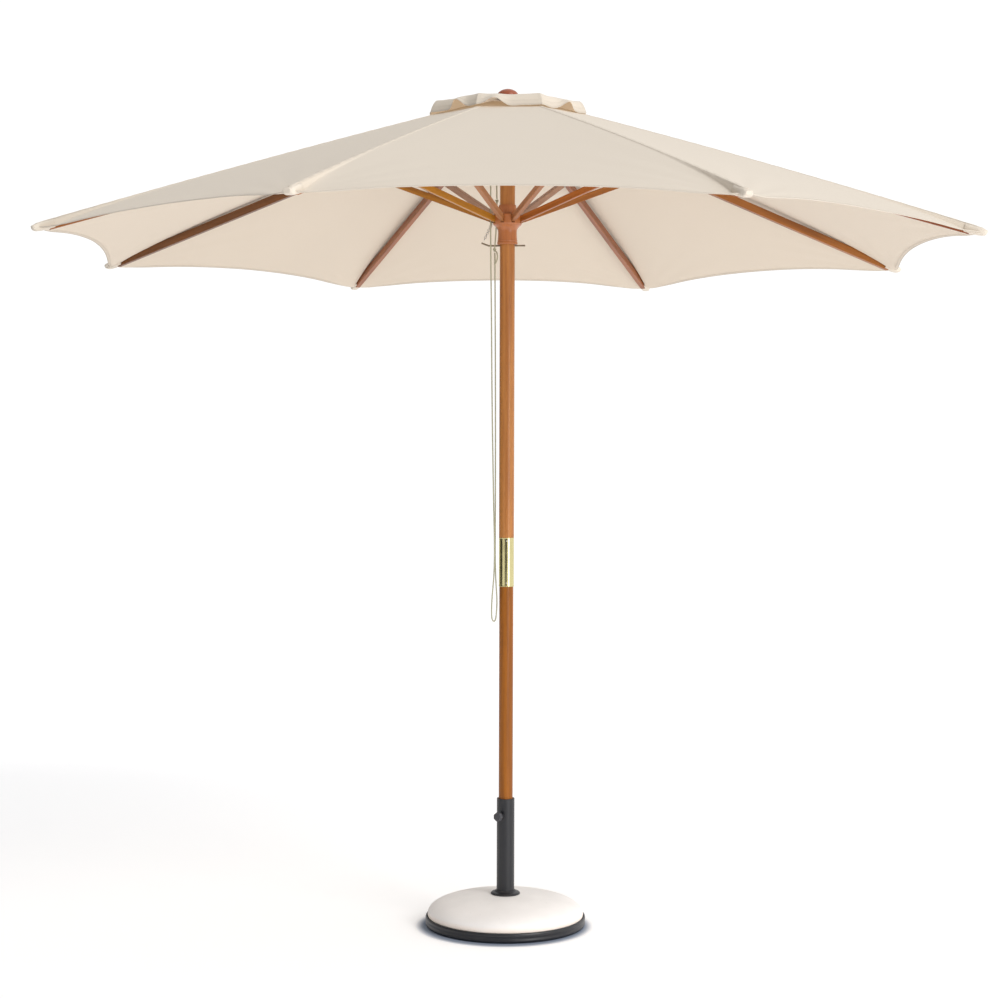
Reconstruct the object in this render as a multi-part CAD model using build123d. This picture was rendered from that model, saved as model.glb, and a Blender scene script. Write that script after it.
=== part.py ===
from build123d import *
import os
from math import asin, cos, degrees, radians, sin, tan

# Wooden market umbrella, 3 m across its corners, standing in a concrete-filled base.
# Millimetres, +Z up, origin at the centre of the base's underside.
# Azimuths run from +X towards +Y. Eight ribs at 22.5 degrees and every 45 degrees on.

# ---- driving dimensions -------------------------------------------------------------
RIBS = 8
FIRST_AZIMUTH = 22.5
STEP = 360 / RIBS
HALF_STEP = radians(STEP / 2)

CANOPY_R = 1500.0       # pole axis to a canopy corner
SLOPE = 17.7            # fall of a rib below level, degrees
LEAF = 1.2              # thickness of the fabric's stand-in
CANOPY_LIFT = 1.6       # canopy's underside above the rib's top, along the rib
SCALLOP = 56.0          # how far the hem bows inwards between two corners
VENT_R = 130.0          # vent hole in the middle of the canopy
CAP_R = 280.0           # vent cap, axis to corner
CAP_FALL = 0.12         # fall of the cap's ridges per unit of radius
CAP_APEX_Z = 2649.0

POLE_R = 24.0
LOWER_POLE_R = 22.5
POLE_TOP_Z = 2636.0
JOINT_Z = 1166.0        # where the two poles butt inside the ferrule
FERRULE_Z = (1089.0, 1246.0)
FERRULE_R = 24.3
FERRULE_BORE_R = 22.7

PIVOT_R = 40.0          # axis to the ring wires of the top hub and the runner
HUB_Z = 2621.0          # height of the top hub's ring wire
ARM = 508.0             # hub pivot to strut pivot, and strut pivot to runner pivot
BRACKET_DROP = 28.0     # strut pivot below the rib's middle line
WIRE_R = 1.5
WIRE_HOLE_R = 2.1
CROWN_R = 46.0          # slotted turnings, top and bottom
SLOT_W = 10.8
SLOT_FLOOR_R = 30.0
TONGUE_W = 10.0

RIB_W, RIB_H = 18.0, 26.0
RIB_BARE_START = 18.0   # where the full lath begins, from its pivot
RIB_END = 1480.0        # end of the lath, from its pivot
STRUT_W, STRUT_H = 16.0, 20.0
STRUT_BARE_START = 20.0
PIVOT_PIN_R = 3.0
PIVOT_HOLE_R = 3.08
CHEEK = 2.0             # bracket plate thickness

BASE_R = 256.5
TRAY_H = 32.0
DOME_R = 250.0
DOME_TOP_Z = 100.0
TUBE_R, TUBE_BORE_R = 28.5, 26.0
TUBE_TOP_Z = 408.0
ANCHOR_Z = (12.0, 18.0)
COLLAR_R = 47.0
KNOB_Z = 355.0
KNOB_AZIMUTH = 240.0    # the knob faces forwards and to the left
SCREW_R = 4.0
BOSS_END = 38.0
KNOB_SPAN = (42.0, 58.0)
KNOB_R = 15.0

PIN_R = 2.75
PIN_Z = 2178.5
PIN_AZIMUTH = -6.0      # the locking pin's line, turned clear of the hoist cord
CORD_R = 2.2
WHEEL_AT = (-46.0, 0.0, 2566.0)
WHEEL_LINE_R = 8.2      # pulley centre to the middle of the cord
WHEEL_ARC_R = 8.1       # the cord's arc over the pulley, a shade under its quarter turn

# ---- worked out ---------------------------------------------------------------------
SPREAD = SLOPE + degrees(asin(BRACKET_DROP / ARM))   # pivot line below level when open
RUNNER_Z = HUB_Z - 2 * ARM * sin(radians(SPREAD))    # height of the runner's ring wire
STRUT_PIVOT_X = ARM * cos(radians(SPREAD - SLOPE))   # strut pivot along the rib
RIDGE_FALL = tan(radians(SLOPE))
PANEL_FALL = RIDGE_FALL / cos(HALF_STEP)             # steepest fall of a canopy panel
RIB_TOP_RISE = RIB_H / 2 / cos(radians(SLOPE))
CANOPY_APEX_Z = HUB_Z + PIVOT_R * RIDGE_FALL + RIB_TOP_RISE + CANOPY_LIFT
AZIMUTHS = [FIRST_AZIMUTH + STEP * k for k in range(RIBS)]

os.makedirs("parts", exist_ok=True)


def save(shape, name):
    export_step(shape, f"parts/{name}.step")


def rod(radius, x0, x1):
    """A round bar along X."""
    return Pos((x0 + x1) / 2, 0, 0) * Rot(0, 90, 0) * Cylinder(radius, x1 - x0)


def cross_pin(radius, width, x=0.0, z=0.0):
    """A round bar along Y, centred on the XZ plane."""
    return Pos(x, 0, z) * Rot(90, 0, 0) * Cylinder(radius, width)


def upright(radius, z0, z1):
    """A round bar along Z on the pole's axis."""
    return Pos(0, 0, (z0 + z1) / 2) * Cylinder(radius, z1 - z0)


def turned(points):
    """A solid of revolution about Z from its half outline in (radius, height)."""
    outline = Polyline(*[(r, 0, z) for r, z in points], close=True)
    return revolve(make_face(outline), Axis.Z, 360)


def bar(x0, x1, width, height):
    """A square bar along X, centred in Y and Z."""
    return Pos((x0 + x1) / 2, 0, 0) * Box(x1 - x0, width, height)


def on_hub(azimuth, height, slope):
    """Places a lath drawn along X from its pivot: sloping down, on the ring wire."""
    return Rot(0, 0, azimuth) * Pos(PIVOT_R, 0, height) * Rot(0, slope, 0)


# ---- base ---------------------------------------------------------------------------
def base_tray():
    """Black pan with a rounded lower edge that the concrete is cast in."""
    wall, floor, edge = 6.3, 6.0, 5.0
    return turned([
        (0, 0), (BASE_R - edge, 0), (BASE_R, edge), (BASE_R, TRAY_H - 1),
        (BASE_R - 1, TRAY_H), (BASE_R - wall + 0.3, TRAY_H), (BASE_R - wall, floor), (0, floor)])


def concrete_base():
    """Flattened dome of concrete around the tube and its anchor plate."""
    rim_z, floor_z = 37.0, 6.0
    rise = DOME_TOP_Z - rim_z
    profile = [(0, floor_z), (DOME_R - 0.2, floor_z), (DOME_R - 0.2, TRAY_H)]
    steps = 14
    for i in range(steps + 1):
        angle = radians(90 * i / steps)
        squareness = 0.88    # below 1 fills the shoulder out beyond an ellipse
        profile.append((DOME_R * cos(angle) ** squareness, rim_z + rise * sin(angle) ** squareness))
    dome = turned(profile[:-1] + [(0, DOME_TOP_Z)])
    anchor_room = upright(60.2, ANCHOR_Z[0] - 0.2, ANCHOR_Z[1] + 0.2)
    return dome - anchor_room - upright(TUBE_R + 0.1, ANCHOR_Z[1], DOME_TOP_Z + 1)


def base_collar():
    """Turned cover ring where the tube leaves the concrete."""
    bore = TUBE_R + 0.2
    foot_z = DOME_TOP_Z + 0.2
    return turned([
        (bore, foot_z), (COLLAR_R, foot_z), (COLLAR_R, foot_z + 3), (COLLAR_R - 3, foot_z + 6),
        (bore + 7, foot_z + 8), (bore + 3, foot_z + 12), (bore, foot_z + 12)])


def base_tube():
    """Steel tube with a hole for the clamp screw."""
    tube = upright(TUBE_R, ANCHOR_Z[1], TUBE_TOP_Z) - upright(TUBE_BORE_R, 0, TUBE_TOP_Z + 1)
    hole = Rot(0, 0, KNOB_AZIMUTH) * Pos(0, 0, KNOB_Z) * rod(SCREW_R + 0.3, 10, 40)
    return tube - hole


def reducer_sleeve():
    """Plastic liner that packs the thinner pole out to the tube: a long foot and a top ring."""
    outer, inner = TUBE_BORE_R - 0.2, LOWER_POLE_R + 0.3
    foot = upright(outer, ANCHOR_Z[1] + 0.2, 300) - upright(inner, 0, 301)
    top = upright(outer, TUBE_TOP_Z - 24, TUBE_TOP_Z - 0.5) - upright(inner, 0, TUBE_TOP_Z)
    return Compound(children=[foot, top])


def clamp_boss():
    """Threaded boss welded to the tube, hollowed to sit on it."""
    boss = rod(9, TUBE_BORE_R, BOSS_END) - rod(SCREW_R + 0.1, 0, BOSS_END + 1)
    saddle = Cylinder(TUBE_R + 0.02, 60)
    return Rot(0, 0, KNOB_AZIMUTH) * Pos(0, 0, KNOB_Z) * (boss - saddle)


def clamp_knob():
    """Seven-lobed hand knob with its screw in a blind hole."""
    lobes = 7
    body = rod(KNOB_R - 3, *KNOB_SPAN)
    for k in range(lobes):
        lobe = rod(4.2, KNOB_SPAN[0] + 2, KNOB_SPAN[1] - 1)
        body += Rot(360 * k / lobes, 0, 0) * Pos(0, KNOB_R - 4.2, 0) * lobe
    body -= rod(SCREW_R, KNOB_SPAN[0] - 1, KNOB_SPAN[1] - 4)
    return Rot(0, 0, KNOB_AZIMUTH) * Pos(0, 0, KNOB_Z) * body


def knob_line(x0, x1, radius):
    """A round bar on the clamp screw's axis, between two distances from the pole's axis."""
    return Rot(0, 0, KNOB_AZIMUTH) * Pos(0, 0, KNOB_Z) * rod(radius, x0, x1)


PAD_END = 25.6
save(base_tray(), "base_tray")
save(concrete_base(), "concrete_base")
save(base_collar(), "base_collar")
save(upright(60, *ANCHOR_Z), "tube_anchor")
save(base_tube(), "base_tube")
save(reducer_sleeve(), "reducer_sleeve")
save(clamp_boss(), "clamp_boss")
save(clamp_knob(), "clamp_knob")
save(knob_line(LOWER_POLE_R + 0.1, PAD_END, SCREW_R - 0.1), "clamp_pad")
save(knob_line(PAD_END, KNOB_SPAN[1] - 4, SCREW_R), "clamp_screw")


# ---- poles --------------------------------------------------------------------------
def lower_pole():
    """Round lower pole with pilot holes for the ferrule's fixing screws."""
    pole = upright(LOWER_POLE_R, ANCHOR_Z[1] + 0.5, JOINT_Z - 1)
    return pole - Pos(0, 0, FERRULE_Z[0] + 12) * cross_pin(1.5, 60)


def upper_pole():
    """Round upper pole: spigot below, pin hole under the runner, dowel hole on top."""
    pole = upright(POLE_R, FERRULE_Z[1], POLE_TOP_Z)
    pole += upright(FERRULE_BORE_R - 0.3, JOINT_Z, FERRULE_Z[1])
    pole -= Rot(0, 0, PIN_AZIMUTH) * Pos(0, 0, PIN_Z) * rod(PIN_R + 0.25, -40, 40)
    return pole - upright(6, POLE_TOP_Z - 36, POLE_TOP_Z + 1)


def pole_ferrule():
    """Brass sleeve that joins the two poles, with two pairs of screw holes."""
    ferrule = upright(FERRULE_R, *FERRULE_Z) - upright(FERRULE_BORE_R, 0, 1300)
    for z in (FERRULE_Z[0] + 12, FERRULE_Z[1] - 10):
        ferrule -= Pos(0, 0, z) * cross_pin(1.5, 60)
    return ferrule


def ferrule_screws():
    """Two screws into the lower pole and two pins in the ferrule's upper wall."""
    rows = [(FERRULE_Z[0] + 12, 14.0), (FERRULE_Z[1] - 10, FERRULE_BORE_R)]
    pieces = []
    for z, inner in rows:
        for turn in (90, -90):
            shank = rod(1.5, inner, FERRULE_R)
            head = rod(2.6, FERRULE_R, FERRULE_R + 0.9)
            pieces.append(Pos(0, 0, z) * Rot(0, 0, turn) * (shank + head))
    return Compound(children=pieces)


save(lower_pole(), "lower_pole")
save(upper_pole(), "upper_pole")
save(pole_ferrule(), "pole_ferrule")
save(ferrule_screws(), "ferrule_screws")


# ---- top hub, finial, runner --------------------------------------------------------
def ring_wire(height):
    return Pos(0, 0, height) * Torus(PIVOT_R, WIRE_R)


def slots(height, z0, z1):
    """Eight radial slots for the tongues of ribs or struts."""
    tool = Pos(SLOT_FLOOR_R + 20, 0, height + (z0 + z1) / 2) * Box(40, SLOT_W, z1 - z0)
    return [Rot(0, 0, a) * tool for a in AZIMUTHS]


def top_hub():
    """Turned notched hub: the ribs hang in its slots on a ring of wire."""
    below, above = 16.0, 10.0
    body = turned([
        (POLE_R + 0.1, HUB_Z - below), (CROWN_R - 4, HUB_Z - below), (CROWN_R, HUB_Z - below + 4),
        (CROWN_R, HUB_Z + above - 3), (CROWN_R - 3, HUB_Z + above), (POLE_R + 3, HUB_Z + above + 4),
        (POLE_R + 0.1, HUB_Z + above + 4)])
    body -= Pos(0, 0, HUB_Z) * Torus(PIVOT_R, WIRE_R + 0.1)
    for slot in slots(HUB_Z, -below - 2, above + 6):
        body -= slot
    return body


RUNNER_FOOT_Z = PIN_Z + PIN_R + 0.6
RUNNER_CROWN_TOP = RUNNER_Z + 17
RUNNER_TOP_Z = RUNNER_Z + 48
CORD_PASS = (-34.0, -2.0)   # vertical hole through the crown for the hoist cord
CHAIN_PEG_Z = RUNNER_Z - 7
PEG_R = 1.5


def runner():
    """Turned sliding ring: beaded foot, waist, slotted crown and a thin upper collar."""
    bore, foot = POLE_R + 0.6, RUNNER_FOOT_Z
    body = turned([
        (bore, foot), (31, foot), (32.6, foot + 2), (32.6, foot + 7), (31.2, foot + 9),
        (32, foot + 12), (31, foot + 15), (30.2, foot + 24), (29.8, foot + 38), (30.4, foot + 45),
        (33.5, foot + 52), (37, foot + 56), (43.5, foot + 61), (CROWN_R, foot + 66),
        (CROWN_R, RUNNER_CROWN_TOP - 2), (CROWN_R - 2, RUNNER_CROWN_TOP),
        (28.8, RUNNER_CROWN_TOP), (28.2, RUNNER_TOP_Z - 6), (27.2, RUNNER_TOP_Z), (bore, RUNNER_TOP_Z)])
    body -= Pos(0, 0, RUNNER_Z) * Torus(PIVOT_R, WIRE_R + 0.1)
    for slot in slots(RUNNER_Z, -11, 22):
        body -= slot
    body -= Pos(*CORD_PASS, RUNNER_Z) * Cylinder(CORD_R + 0.6, 60)
    return body - Rot(0, 0, 180 + PIN_AZIMUTH) * Pos(0, 0, CHAIN_PEG_Z) * rod(PEG_R, 34, CROWN_R + 1)


def chain_peg():
    """Headed peg in the runner's crown that the pin's chain hangs on."""
    peg = rod(PEG_R, 34, CROWN_R + 6) + rod(PEG_R + 0.4, CROWN_R + 6, CROWN_R + 7)
    return Rot(0, 0, 180 + PIN_AZIMUTH) * Pos(0, 0, CHAIN_PEG_Z) * peg


def finial():
    """Turned wooden button on top, hollowed below to clear the cap's cloth."""
    seat_z, brim_z, brim_r = CAP_APEX_Z + 2.4, CAP_APEX_Z - 1.6, 36.0
    dome = [(brim_r, brim_z + 3), (34.5, brim_z + 10), (29, brim_z + 18), (20, brim_z + 25),
            (9, brim_z + 29), (0, brim_z + 30)]
    body = turned([(0, seat_z), (10, seat_z), (brim_r - 2, brim_z), *dome])
    return body - upright(6, 0, CAP_APEX_Z + 14)


save(top_hub(), "top_hub")
save(ring_wire(HUB_Z), "top_hub_wire")
save(runner(), "runner")
save(ring_wire(RUNNER_Z), "runner_wire")
save(chain_peg(), "chain_peg")
save(finial(), "finial")
save(upright(6, POLE_TOP_Z - 36, CAP_APEX_Z + 14), "finial_dowel")


# ---- ribs, brackets and struts, drawn along X from their pivot ----------------------
RIVET_SPREAD = 17.0


def rib():
    """Wooden rib: tongue on the hub's wire, lath, and a peg for the canopy's corner pocket."""
    tongue = cross_pin(9, TONGUE_W) + bar(0, RIB_BARE_START + 3, TONGUE_W, 18)
    lath = bar(RIB_BARE_START, RIB_END, RIB_W, RIB_H)
    body = tongue + chamfer(lath.edges().filter_by(Axis.X), 1.6) + rod(4, RIB_END, RIB_END + 24)
    body -= cross_pin(WIRE_HOLE_R, RIB_W)
    for side in (-1, 1):
        body -= cross_pin(2.05, RIB_W + 2, STRUT_PIVOT_X + side * RIVET_SPREAD)
    return body


def rib_bracket():
    """Two steel cheeks on the rib, riveted through it, with the strut's pivot pin."""
    reach, pivot = RIVET_SPREAD + 8, (STRUT_PIVOT_X, -BRACKET_DROP)
    outline = Polygon(
        (pivot[0] + reach, 7), (pivot[0] - reach, 7), (pivot[0] - reach, -11),
        (pivot[0] - 8, pivot[1] - 4), (pivot[0] + 8, pivot[1] - 4), (pivot[0] + reach, -11), align=None)
    cheek = extrude(Plane.XZ * (outline + Pos(*pivot) * Circle(9)), CHEEK)
    inside = 2 * (RIB_W / 2 + 0.05)      # clear width between the cheeks
    outside = inside + 2 * CHEEK
    body = Pos(0, -inside / 2, 0) * cheek + Pos(0, outside / 2, 0) * cheek
    pins = [(PIVOT_PIN_R, 5.0, 1.4, *pivot)]
    pins += [(2.0, 3.6, 1.0, STRUT_PIVOT_X + side * RIVET_SPREAD, 0.0) for side in (-1, 1)]
    for shank_r, head_r, head, x, z in pins:
        body += cross_pin(head_r, outside + 2 * head, x, z) - cross_pin(head_r + 1, outside, x, z)
        body += cross_pin(shank_r, outside, x, z)
    return body


def strut():
    """Wooden strut from the runner's wire to the rib's bracket."""
    body = cross_pin(9, TONGUE_W) + bar(0, STRUT_BARE_START + 3, TONGUE_W, 18)
    lath = bar(STRUT_BARE_START, ARM, STRUT_W, STRUT_H)
    body += chamfer(lath.edges().filter_by(Axis.X), 1.5) + cross_pin(STRUT_H / 2, STRUT_W, ARM)
    return body - cross_pin(WIRE_HOLE_R, STRUT_W) - cross_pin(PIVOT_HOLE_R, STRUT_W + 2, ARM)


def corner_pocket():
    """Sewn pocket over the rib's peg, under the canopy's corner."""
    length = 46.0
    outline = Polygon((RIB_END + 0.4, -9), (RIB_END + length, -1), (RIB_END + length, 11),
                      (RIB_END + 0.4, 12.6), align=None)
    pocket = Pos(0, 11, 0) * extrude(Plane.XZ * outline, 22)
    return pocket - rod(4.3, RIB_END - 1, RIB_END + 26)


rib_shape, bracket_shape, strut_shape, pocket_shape = rib(), rib_bracket(), strut(), corner_pocket()
pockets = []
for number, azimuth in enumerate(AZIMUTHS, 1):
    at_hub = on_hub(azimuth, HUB_Z, SLOPE)
    save(at_hub * rib_shape, f"rib_{number}")
    save(at_hub * bracket_shape, f"rib_bracket_{number}")
    save(on_hub(azimuth, RUNNER_Z, -SPREAD) * strut_shape, f"strut_{number}")
    pockets.append(at_hub * pocket_shape)
save(Compound(children=pockets), "tip_pockets")


# ---- canopy and vent cap ------------------------------------------------------------
def panel(inner_r, outer_r, apex_z, fall, bow):
    """One panel of a pyramid roof between two ridges, with its middle along +X."""
    ci, si = cos(HALF_STEP), sin(HALF_STEP)
    left, right = (outer_r * ci, outer_r * si), (outer_r * ci, -outer_r * si)
    edge = ThreePointArc(right, (outer_r * ci - bow, 0), left)
    rest = Polyline(left, (inner_r * ci, inner_r * si), (inner_r * ci, -inner_r * si), right)
    prism = extrude(make_face([edge, rest]), CAP_APEX_Z + 50)
    angle = degrees(asin(fall / (1 + fall * fall) ** 0.5))
    slab = Pos(0, 0, apex_z) * Rot(0, angle, 0) * Pos(0, 0, LEAF / 2) * Box(3600, 3600, LEAF)
    return prism & slab


def roof(inner_r, outer_r, apex_z, fall, bow):
    one = panel(inner_r, outer_r, apex_z, fall, bow)
    return Compound(children=[Rot(0, 0, STEP * k) * one for k in range(RIBS)])


save(roof(VENT_R, CANOPY_R, CANOPY_APEX_Z, PANEL_FALL, SCALLOP), "canopy")
save(roof(8.0, CAP_R, CAP_APEX_Z, CAP_FALL / cos(HALF_STEP), 8.0), "vent_cap")


# ---- hoist: pulley, locking pin, chain and cord -------------------------------------
def pulley_wheel():
    """Grooved wheel on a cross axle."""
    groove = WHEEL_LINE_R - CORD_R - 0.2
    rim, half, cheek = 9.0, 3.0, 0.6
    shape = turned([(1.56, -half), (rim, -half), (rim, -half + cheek), (groove, -half + cheek),
                    (groove, half - cheek), (rim, half - cheek), (rim, half), (1.56, half)])
    return Pos(*WHEEL_AT) * Rot(90, 0, 0) * shape


def pulley_block():
    """Iron block: a neck screwed to the pole and two cheeks for the wheel's axle."""
    x, _, z = WHEEL_AT
    neck = Pos(-37, 0, z + 22) * Box(28, 5, 8)
    bridge = Pos(x, 0, z + 22) * Box(12, 8.8, 8)
    cheek = Box(12, 1.2, 30)
    body = neck + bridge
    for side in (-1, 1):
        body += Pos(x, side * 3.7, z + 9) * cheek
    return body - cross_pin(1.5, 30, x, z) - upright(POLE_R + 0.02, z, z + 40)


def locking_pin():
    """Steel pin through the pole under the runner, its pulling end turned up."""
    path = FilletPolyline((57, 0), (-60, 0), (-83, 9), radius=8)
    pin = sweep(Plane(origin=(57, 0), x_dir=(0, 1, 0), z_dir=(-1, 0, 0)) * Circle(PIN_R), path)
    return Rot(0, 0, PIN_AZIMUTH) * Pos(0, 0, PIN_Z) * Rot(90, 0, 0) * pin


def pin_chain():
    """Links from the pin's turned end up to the peg in the runner."""
    pitch, ring, wire = 6.2, 4.0, 0.8
    top_x, top_z = -(CROWN_R + 2.6), CHAIN_PEG_Z - 1.1
    low_x, low_z = -78.0, PIN_Z + 9 + PIN_R
    run, drop = low_x - top_x, top_z - low_z
    lean = degrees(asin(-run / (run * run + drop * drop) ** 0.5))
    count = int((run * run + drop * drop) ** 0.5 / pitch)
    links = []
    for i in range(count):
        link = Rot(0, 0, 90 * ((i + 1) % 2)) * Rot(90, 0, 0) * Torus(ring, wire)
        hung = Pos(top_x, 0, top_z) * Rot(0, lean, 0) * Pos(0, 0, -pitch * i) * link
        links.append(Rot(0, 0, PIN_AZIMUTH) * hung)
    return Compound(children=links)


def cord(points, radii, name):
    """A round cord along straight runs joined by tangent arcs. Returns its solid."""
    path = FilletPolyline(*points, radius=radii) if radii else Line(*points)
    section = Plane(origin=path @ 0, z_dir=path % 0) * Circle(CORD_R)
    print(name, "length", round(path.length, 1), "radii", [round(r, 1) for r in radii])
    return sweep(section, path)


def corner_radii(points, share=0.45):
    """The largest arcs that the runs on both sides of each corner allow."""
    radii = []
    for a, b, c in zip(points, points[1:], points[2:]):
        u, v = Vector(*b) - Vector(*a), Vector(*c) - Vector(*b)
        shorter = min(u.length, v.length)
        radii.append(share * shorter / tan(radians(u.get_angle(v)) / 2))
    return radii


save(pulley_wheel(), "pulley_wheel")
save(pulley_block(), "pulley_block")
save(cross_pin(1.5, 9.6, WHEEL_AT[0], WHEEL_AT[2]), "pulley_axle")
save(locking_pin(), "locking_pin")
save(pin_chain(), "pin_chain")

TOP_X, _, TOP_Z = WHEEL_AT
NEAR_X, FAR_X = TOP_X + WHEEL_LINE_R, TOP_X - WHEEL_LINE_R
UPPER_KNOT = (CORD_PASS[0], CORD_PASS[1], RUNNER_TOP_Z + 13)
LOWER_KNOT = (-41.0, -3.0, PIN_Z - 13.5)
LOOP_JOIN = (-32.4, -4.9, 996.0)     # where the two long strands are cut, on the loop's right side

# the hoist's short side: over half the pulley and down to the runner's upper knot
lift_points = [(TOP_X, 0, TOP_Z + WHEEL_LINE_R), (NEAR_X, 0, TOP_Z + WHEEL_LINE_R),
               (NEAR_X, 0, TOP_Z - 20), (UPPER_KNOT[0], UPPER_KNOT[1], UPPER_KNOT[2] + 6.3)]
lift = cord(lift_points, [WHEEL_ARC_R, corner_radii(lift_points)[1]], "hoist_cord_lift")
save(lift, "hoist_cord_lift")

# the long side: over the pulley's other half, down and round the foot of the hanging loop
fall_points = [(TOP_X, 0, TOP_Z + WHEEL_LINE_R), (FAR_X, 0, TOP_Z + WHEEL_LINE_R),
               (FAR_X, 0, TOP_Z - 20), (-53.8, -5.0, 2178.0), (-50.6, -6.0, 2001.0),
               (-47.8, -6.5, 1681.0), (-41.7, -6.8, 1360.0), (-38.2, -7.0, 1225.0),
               (-39.0, -7.5, 1130.0), (-45.0, -8.0, 1066.0), (-47.4, -8.0, 1020.0),
               (-46.6, -7.4, 980.0), (-34.4, -5.4, 975.5), LOOP_JOIN]
fall_radii = corner_radii(fall_points)
fall_radii[0] = WHEEL_ARC_R
fall = cord(fall_points, fall_radii, "hoist_cord_fall")
save(fall, "hoist_cord_fall")

# the way back up from the loop to the runner's lower knot
return_points = [LOOP_JOIN, (-30.4, -4.4, 1016.5), (-30.0, -3.4, 1052.0),
                 (-34.0, -2.2, 1110.0), (-36.4, -1.4, 1190.0), (-35.8, -1.2, 1360.0),
                 (-36.4, -1.4, 1681.0), (-38.5, -2.0, 2001.0),
                 (LOWER_KNOT[0] + 1, LOWER_KNOT[1], LOWER_KNOT[2] - 9.0)]
back = cord(return_points, corner_radii(return_points), "hoist_cord_return")
save(back, "hoist_cord_return")


def runner_cord():
    """The cord's passage through the runner, with a knot above and a knot below."""
    bend = (UPPER_KNOT[0], UPPER_KNOT[1], RUNNER_Z - 18)
    points = [UPPER_KNOT, bend, (LOWER_KNOT[0], LOWER_KNOT[1], LOWER_KNOT[2] + 4)]
    body = cord(points, [30.0], "runner_cord")
    body += Pos(*UPPER_KNOT) * Sphere(6.2)
    return body + Pos(*LOWER_KNOT) * (Sphere(6.4) + Pos(0, 0, -2.5) * Sphere(6.2))


save(runner_cord(), "runner_cord")
print("runner pivot height", round(RUNNER_Z, 2), "open angle", round(SPREAD, 3),
      "strut pivot along rib", round(STRUT_PIVOT_X, 2), "canopy apex", round(CANOPY_APEX_Z, 2))
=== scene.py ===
import enum
import logging
import math
from dataclasses import dataclass
from typing import Any, Dict, List, Optional, Sequence, Tuple, Union

import bpy
import numpy as np
from mathutils import Matrix, Vector


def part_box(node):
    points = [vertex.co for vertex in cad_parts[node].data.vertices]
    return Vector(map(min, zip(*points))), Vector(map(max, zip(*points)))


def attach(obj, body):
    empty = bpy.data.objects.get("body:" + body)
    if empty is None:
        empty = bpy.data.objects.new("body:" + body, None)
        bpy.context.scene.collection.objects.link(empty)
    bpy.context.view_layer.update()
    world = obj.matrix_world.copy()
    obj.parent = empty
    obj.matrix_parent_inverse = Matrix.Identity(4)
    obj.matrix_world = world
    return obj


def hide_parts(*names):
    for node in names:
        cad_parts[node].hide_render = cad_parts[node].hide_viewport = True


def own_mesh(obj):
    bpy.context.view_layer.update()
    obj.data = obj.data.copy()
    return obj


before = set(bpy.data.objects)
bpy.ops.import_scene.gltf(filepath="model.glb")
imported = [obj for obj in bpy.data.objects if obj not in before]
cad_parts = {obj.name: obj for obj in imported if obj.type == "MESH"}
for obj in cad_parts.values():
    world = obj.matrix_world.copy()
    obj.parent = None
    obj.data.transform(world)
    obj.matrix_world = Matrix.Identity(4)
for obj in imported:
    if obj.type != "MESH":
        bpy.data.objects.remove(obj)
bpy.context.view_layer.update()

# Wooden market umbrella on a concrete-filled base. Metres, +Z up, the base stands on z = 0.
# Ribs hang at azimuths 22.5 degrees and every 45 degrees on, counted from +X towards +Y.

logging.basicConfig(level=logging.INFO, format="%(message)s")
log = logging.getLogger("umbrella")

Point = Tuple[float, float, float]
Colour = Tuple[float, float, float]
RIBS = 8
HALF_STEP = math.pi / RIBS
RIB_SLOPE = math.radians(17.7)
STRUT_SLOPE = math.radians(20.86)
# outer radius of both slotted crowns and the heights each stands between, which also bound the painted shade
# in their slots
CROWN_R = 0.0455
RUNNER_CROWN = (2.2482, 2.2775)
HUB_CROWN = (2.600, 2.640)
# spacing and length of a stitch, thickness of its thread
STITCH = (0.0042, 0.0030, 0.0007)
# length of one pucker along a seam
PUCKER = 0.052


class Half(enum.Enum):
    """Which side of its rib half a panel lies on, as a sign."""

    LEFT = 1
    RIGHT = -1


def azimuth_of(number: int) -> float:
    """Azimuth of rib number 1 to 8, in radians."""
    return HALF_STEP * (2 * number - 1)


def tint(code: str) -> Colour:
    """Linear colour of a hexadecimal display colour.

    Args:
        code: six hexadecimal digits.

    Returns:
        The three linear channels.
    """
    channels = [int(code[i:i + 2], 16) / 255 for i in (0, 2, 4)]
    return tuple(c / 12.92 if c <= 0.04045 else ((c + 0.055) / 1.055) ** 2.4 for c in channels)


def scaled(colour: Colour, factor: float) -> Colour:
    """A colour made lighter or darker, no channel above 1."""
    return tuple(min(1.0, c * factor) for c in colour)


def smooth(x: np.ndarray) -> np.ndarray:
    """Smooth step from 0 to 1 of values clipped to that range."""
    x = np.clip(x, 0, 1)
    return x * x * (3 - 2 * x)


# ---- shader expressions ---------------------------------------------------------------
class Signal:
    """An output socket of a material that takes part in Python expressions."""

    def __init__(self, graph: "Graph", socket: bpy.types.NodeSocket) -> None:
        """Keeps the socket and the graph it belongs to."""
        self.graph, self.socket = graph, socket

    def __add__(self, other: "Number") -> "Signal":
        """Sum."""
        return self.graph.math("ADD", self, other)

    def __sub__(self, other: "Number") -> "Signal":
        """Difference."""
        return self.graph.math("SUBTRACT", self, other)

    def __mul__(self, other: "Number") -> "Signal":
        """Product."""
        return self.graph.math("MULTIPLY", self, other)

    def __pow__(self, other: "Number") -> "Signal":
        """Power."""
        return self.graph.math("POWER", self, other)

    __radd__ = __add__

    def sin(self) -> "Signal":
        """Sine."""
        return self.graph.math("SINE", self)

    def band(self, low: float, high: float) -> "Signal":
        """0 below low, 1 above high and smooth between, or the reverse where low is above high.

        Args:
            low: where the result is 0.
            high: where the result is 1.

        Returns:
            The masked signal.
        """
        first, last = (0.0, 1.0) if low < high else (1.0, 0.0)
        return self.graph.signal("ShaderNodeMapRange", {"interpolation_type": "SMOOTHSTEP"}, {
            "Value": self, "From Min": min(low, high), "From Max": max(low, high),
            "To Min": first, "To Max": last})


Number = Union[float, Signal]


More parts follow.
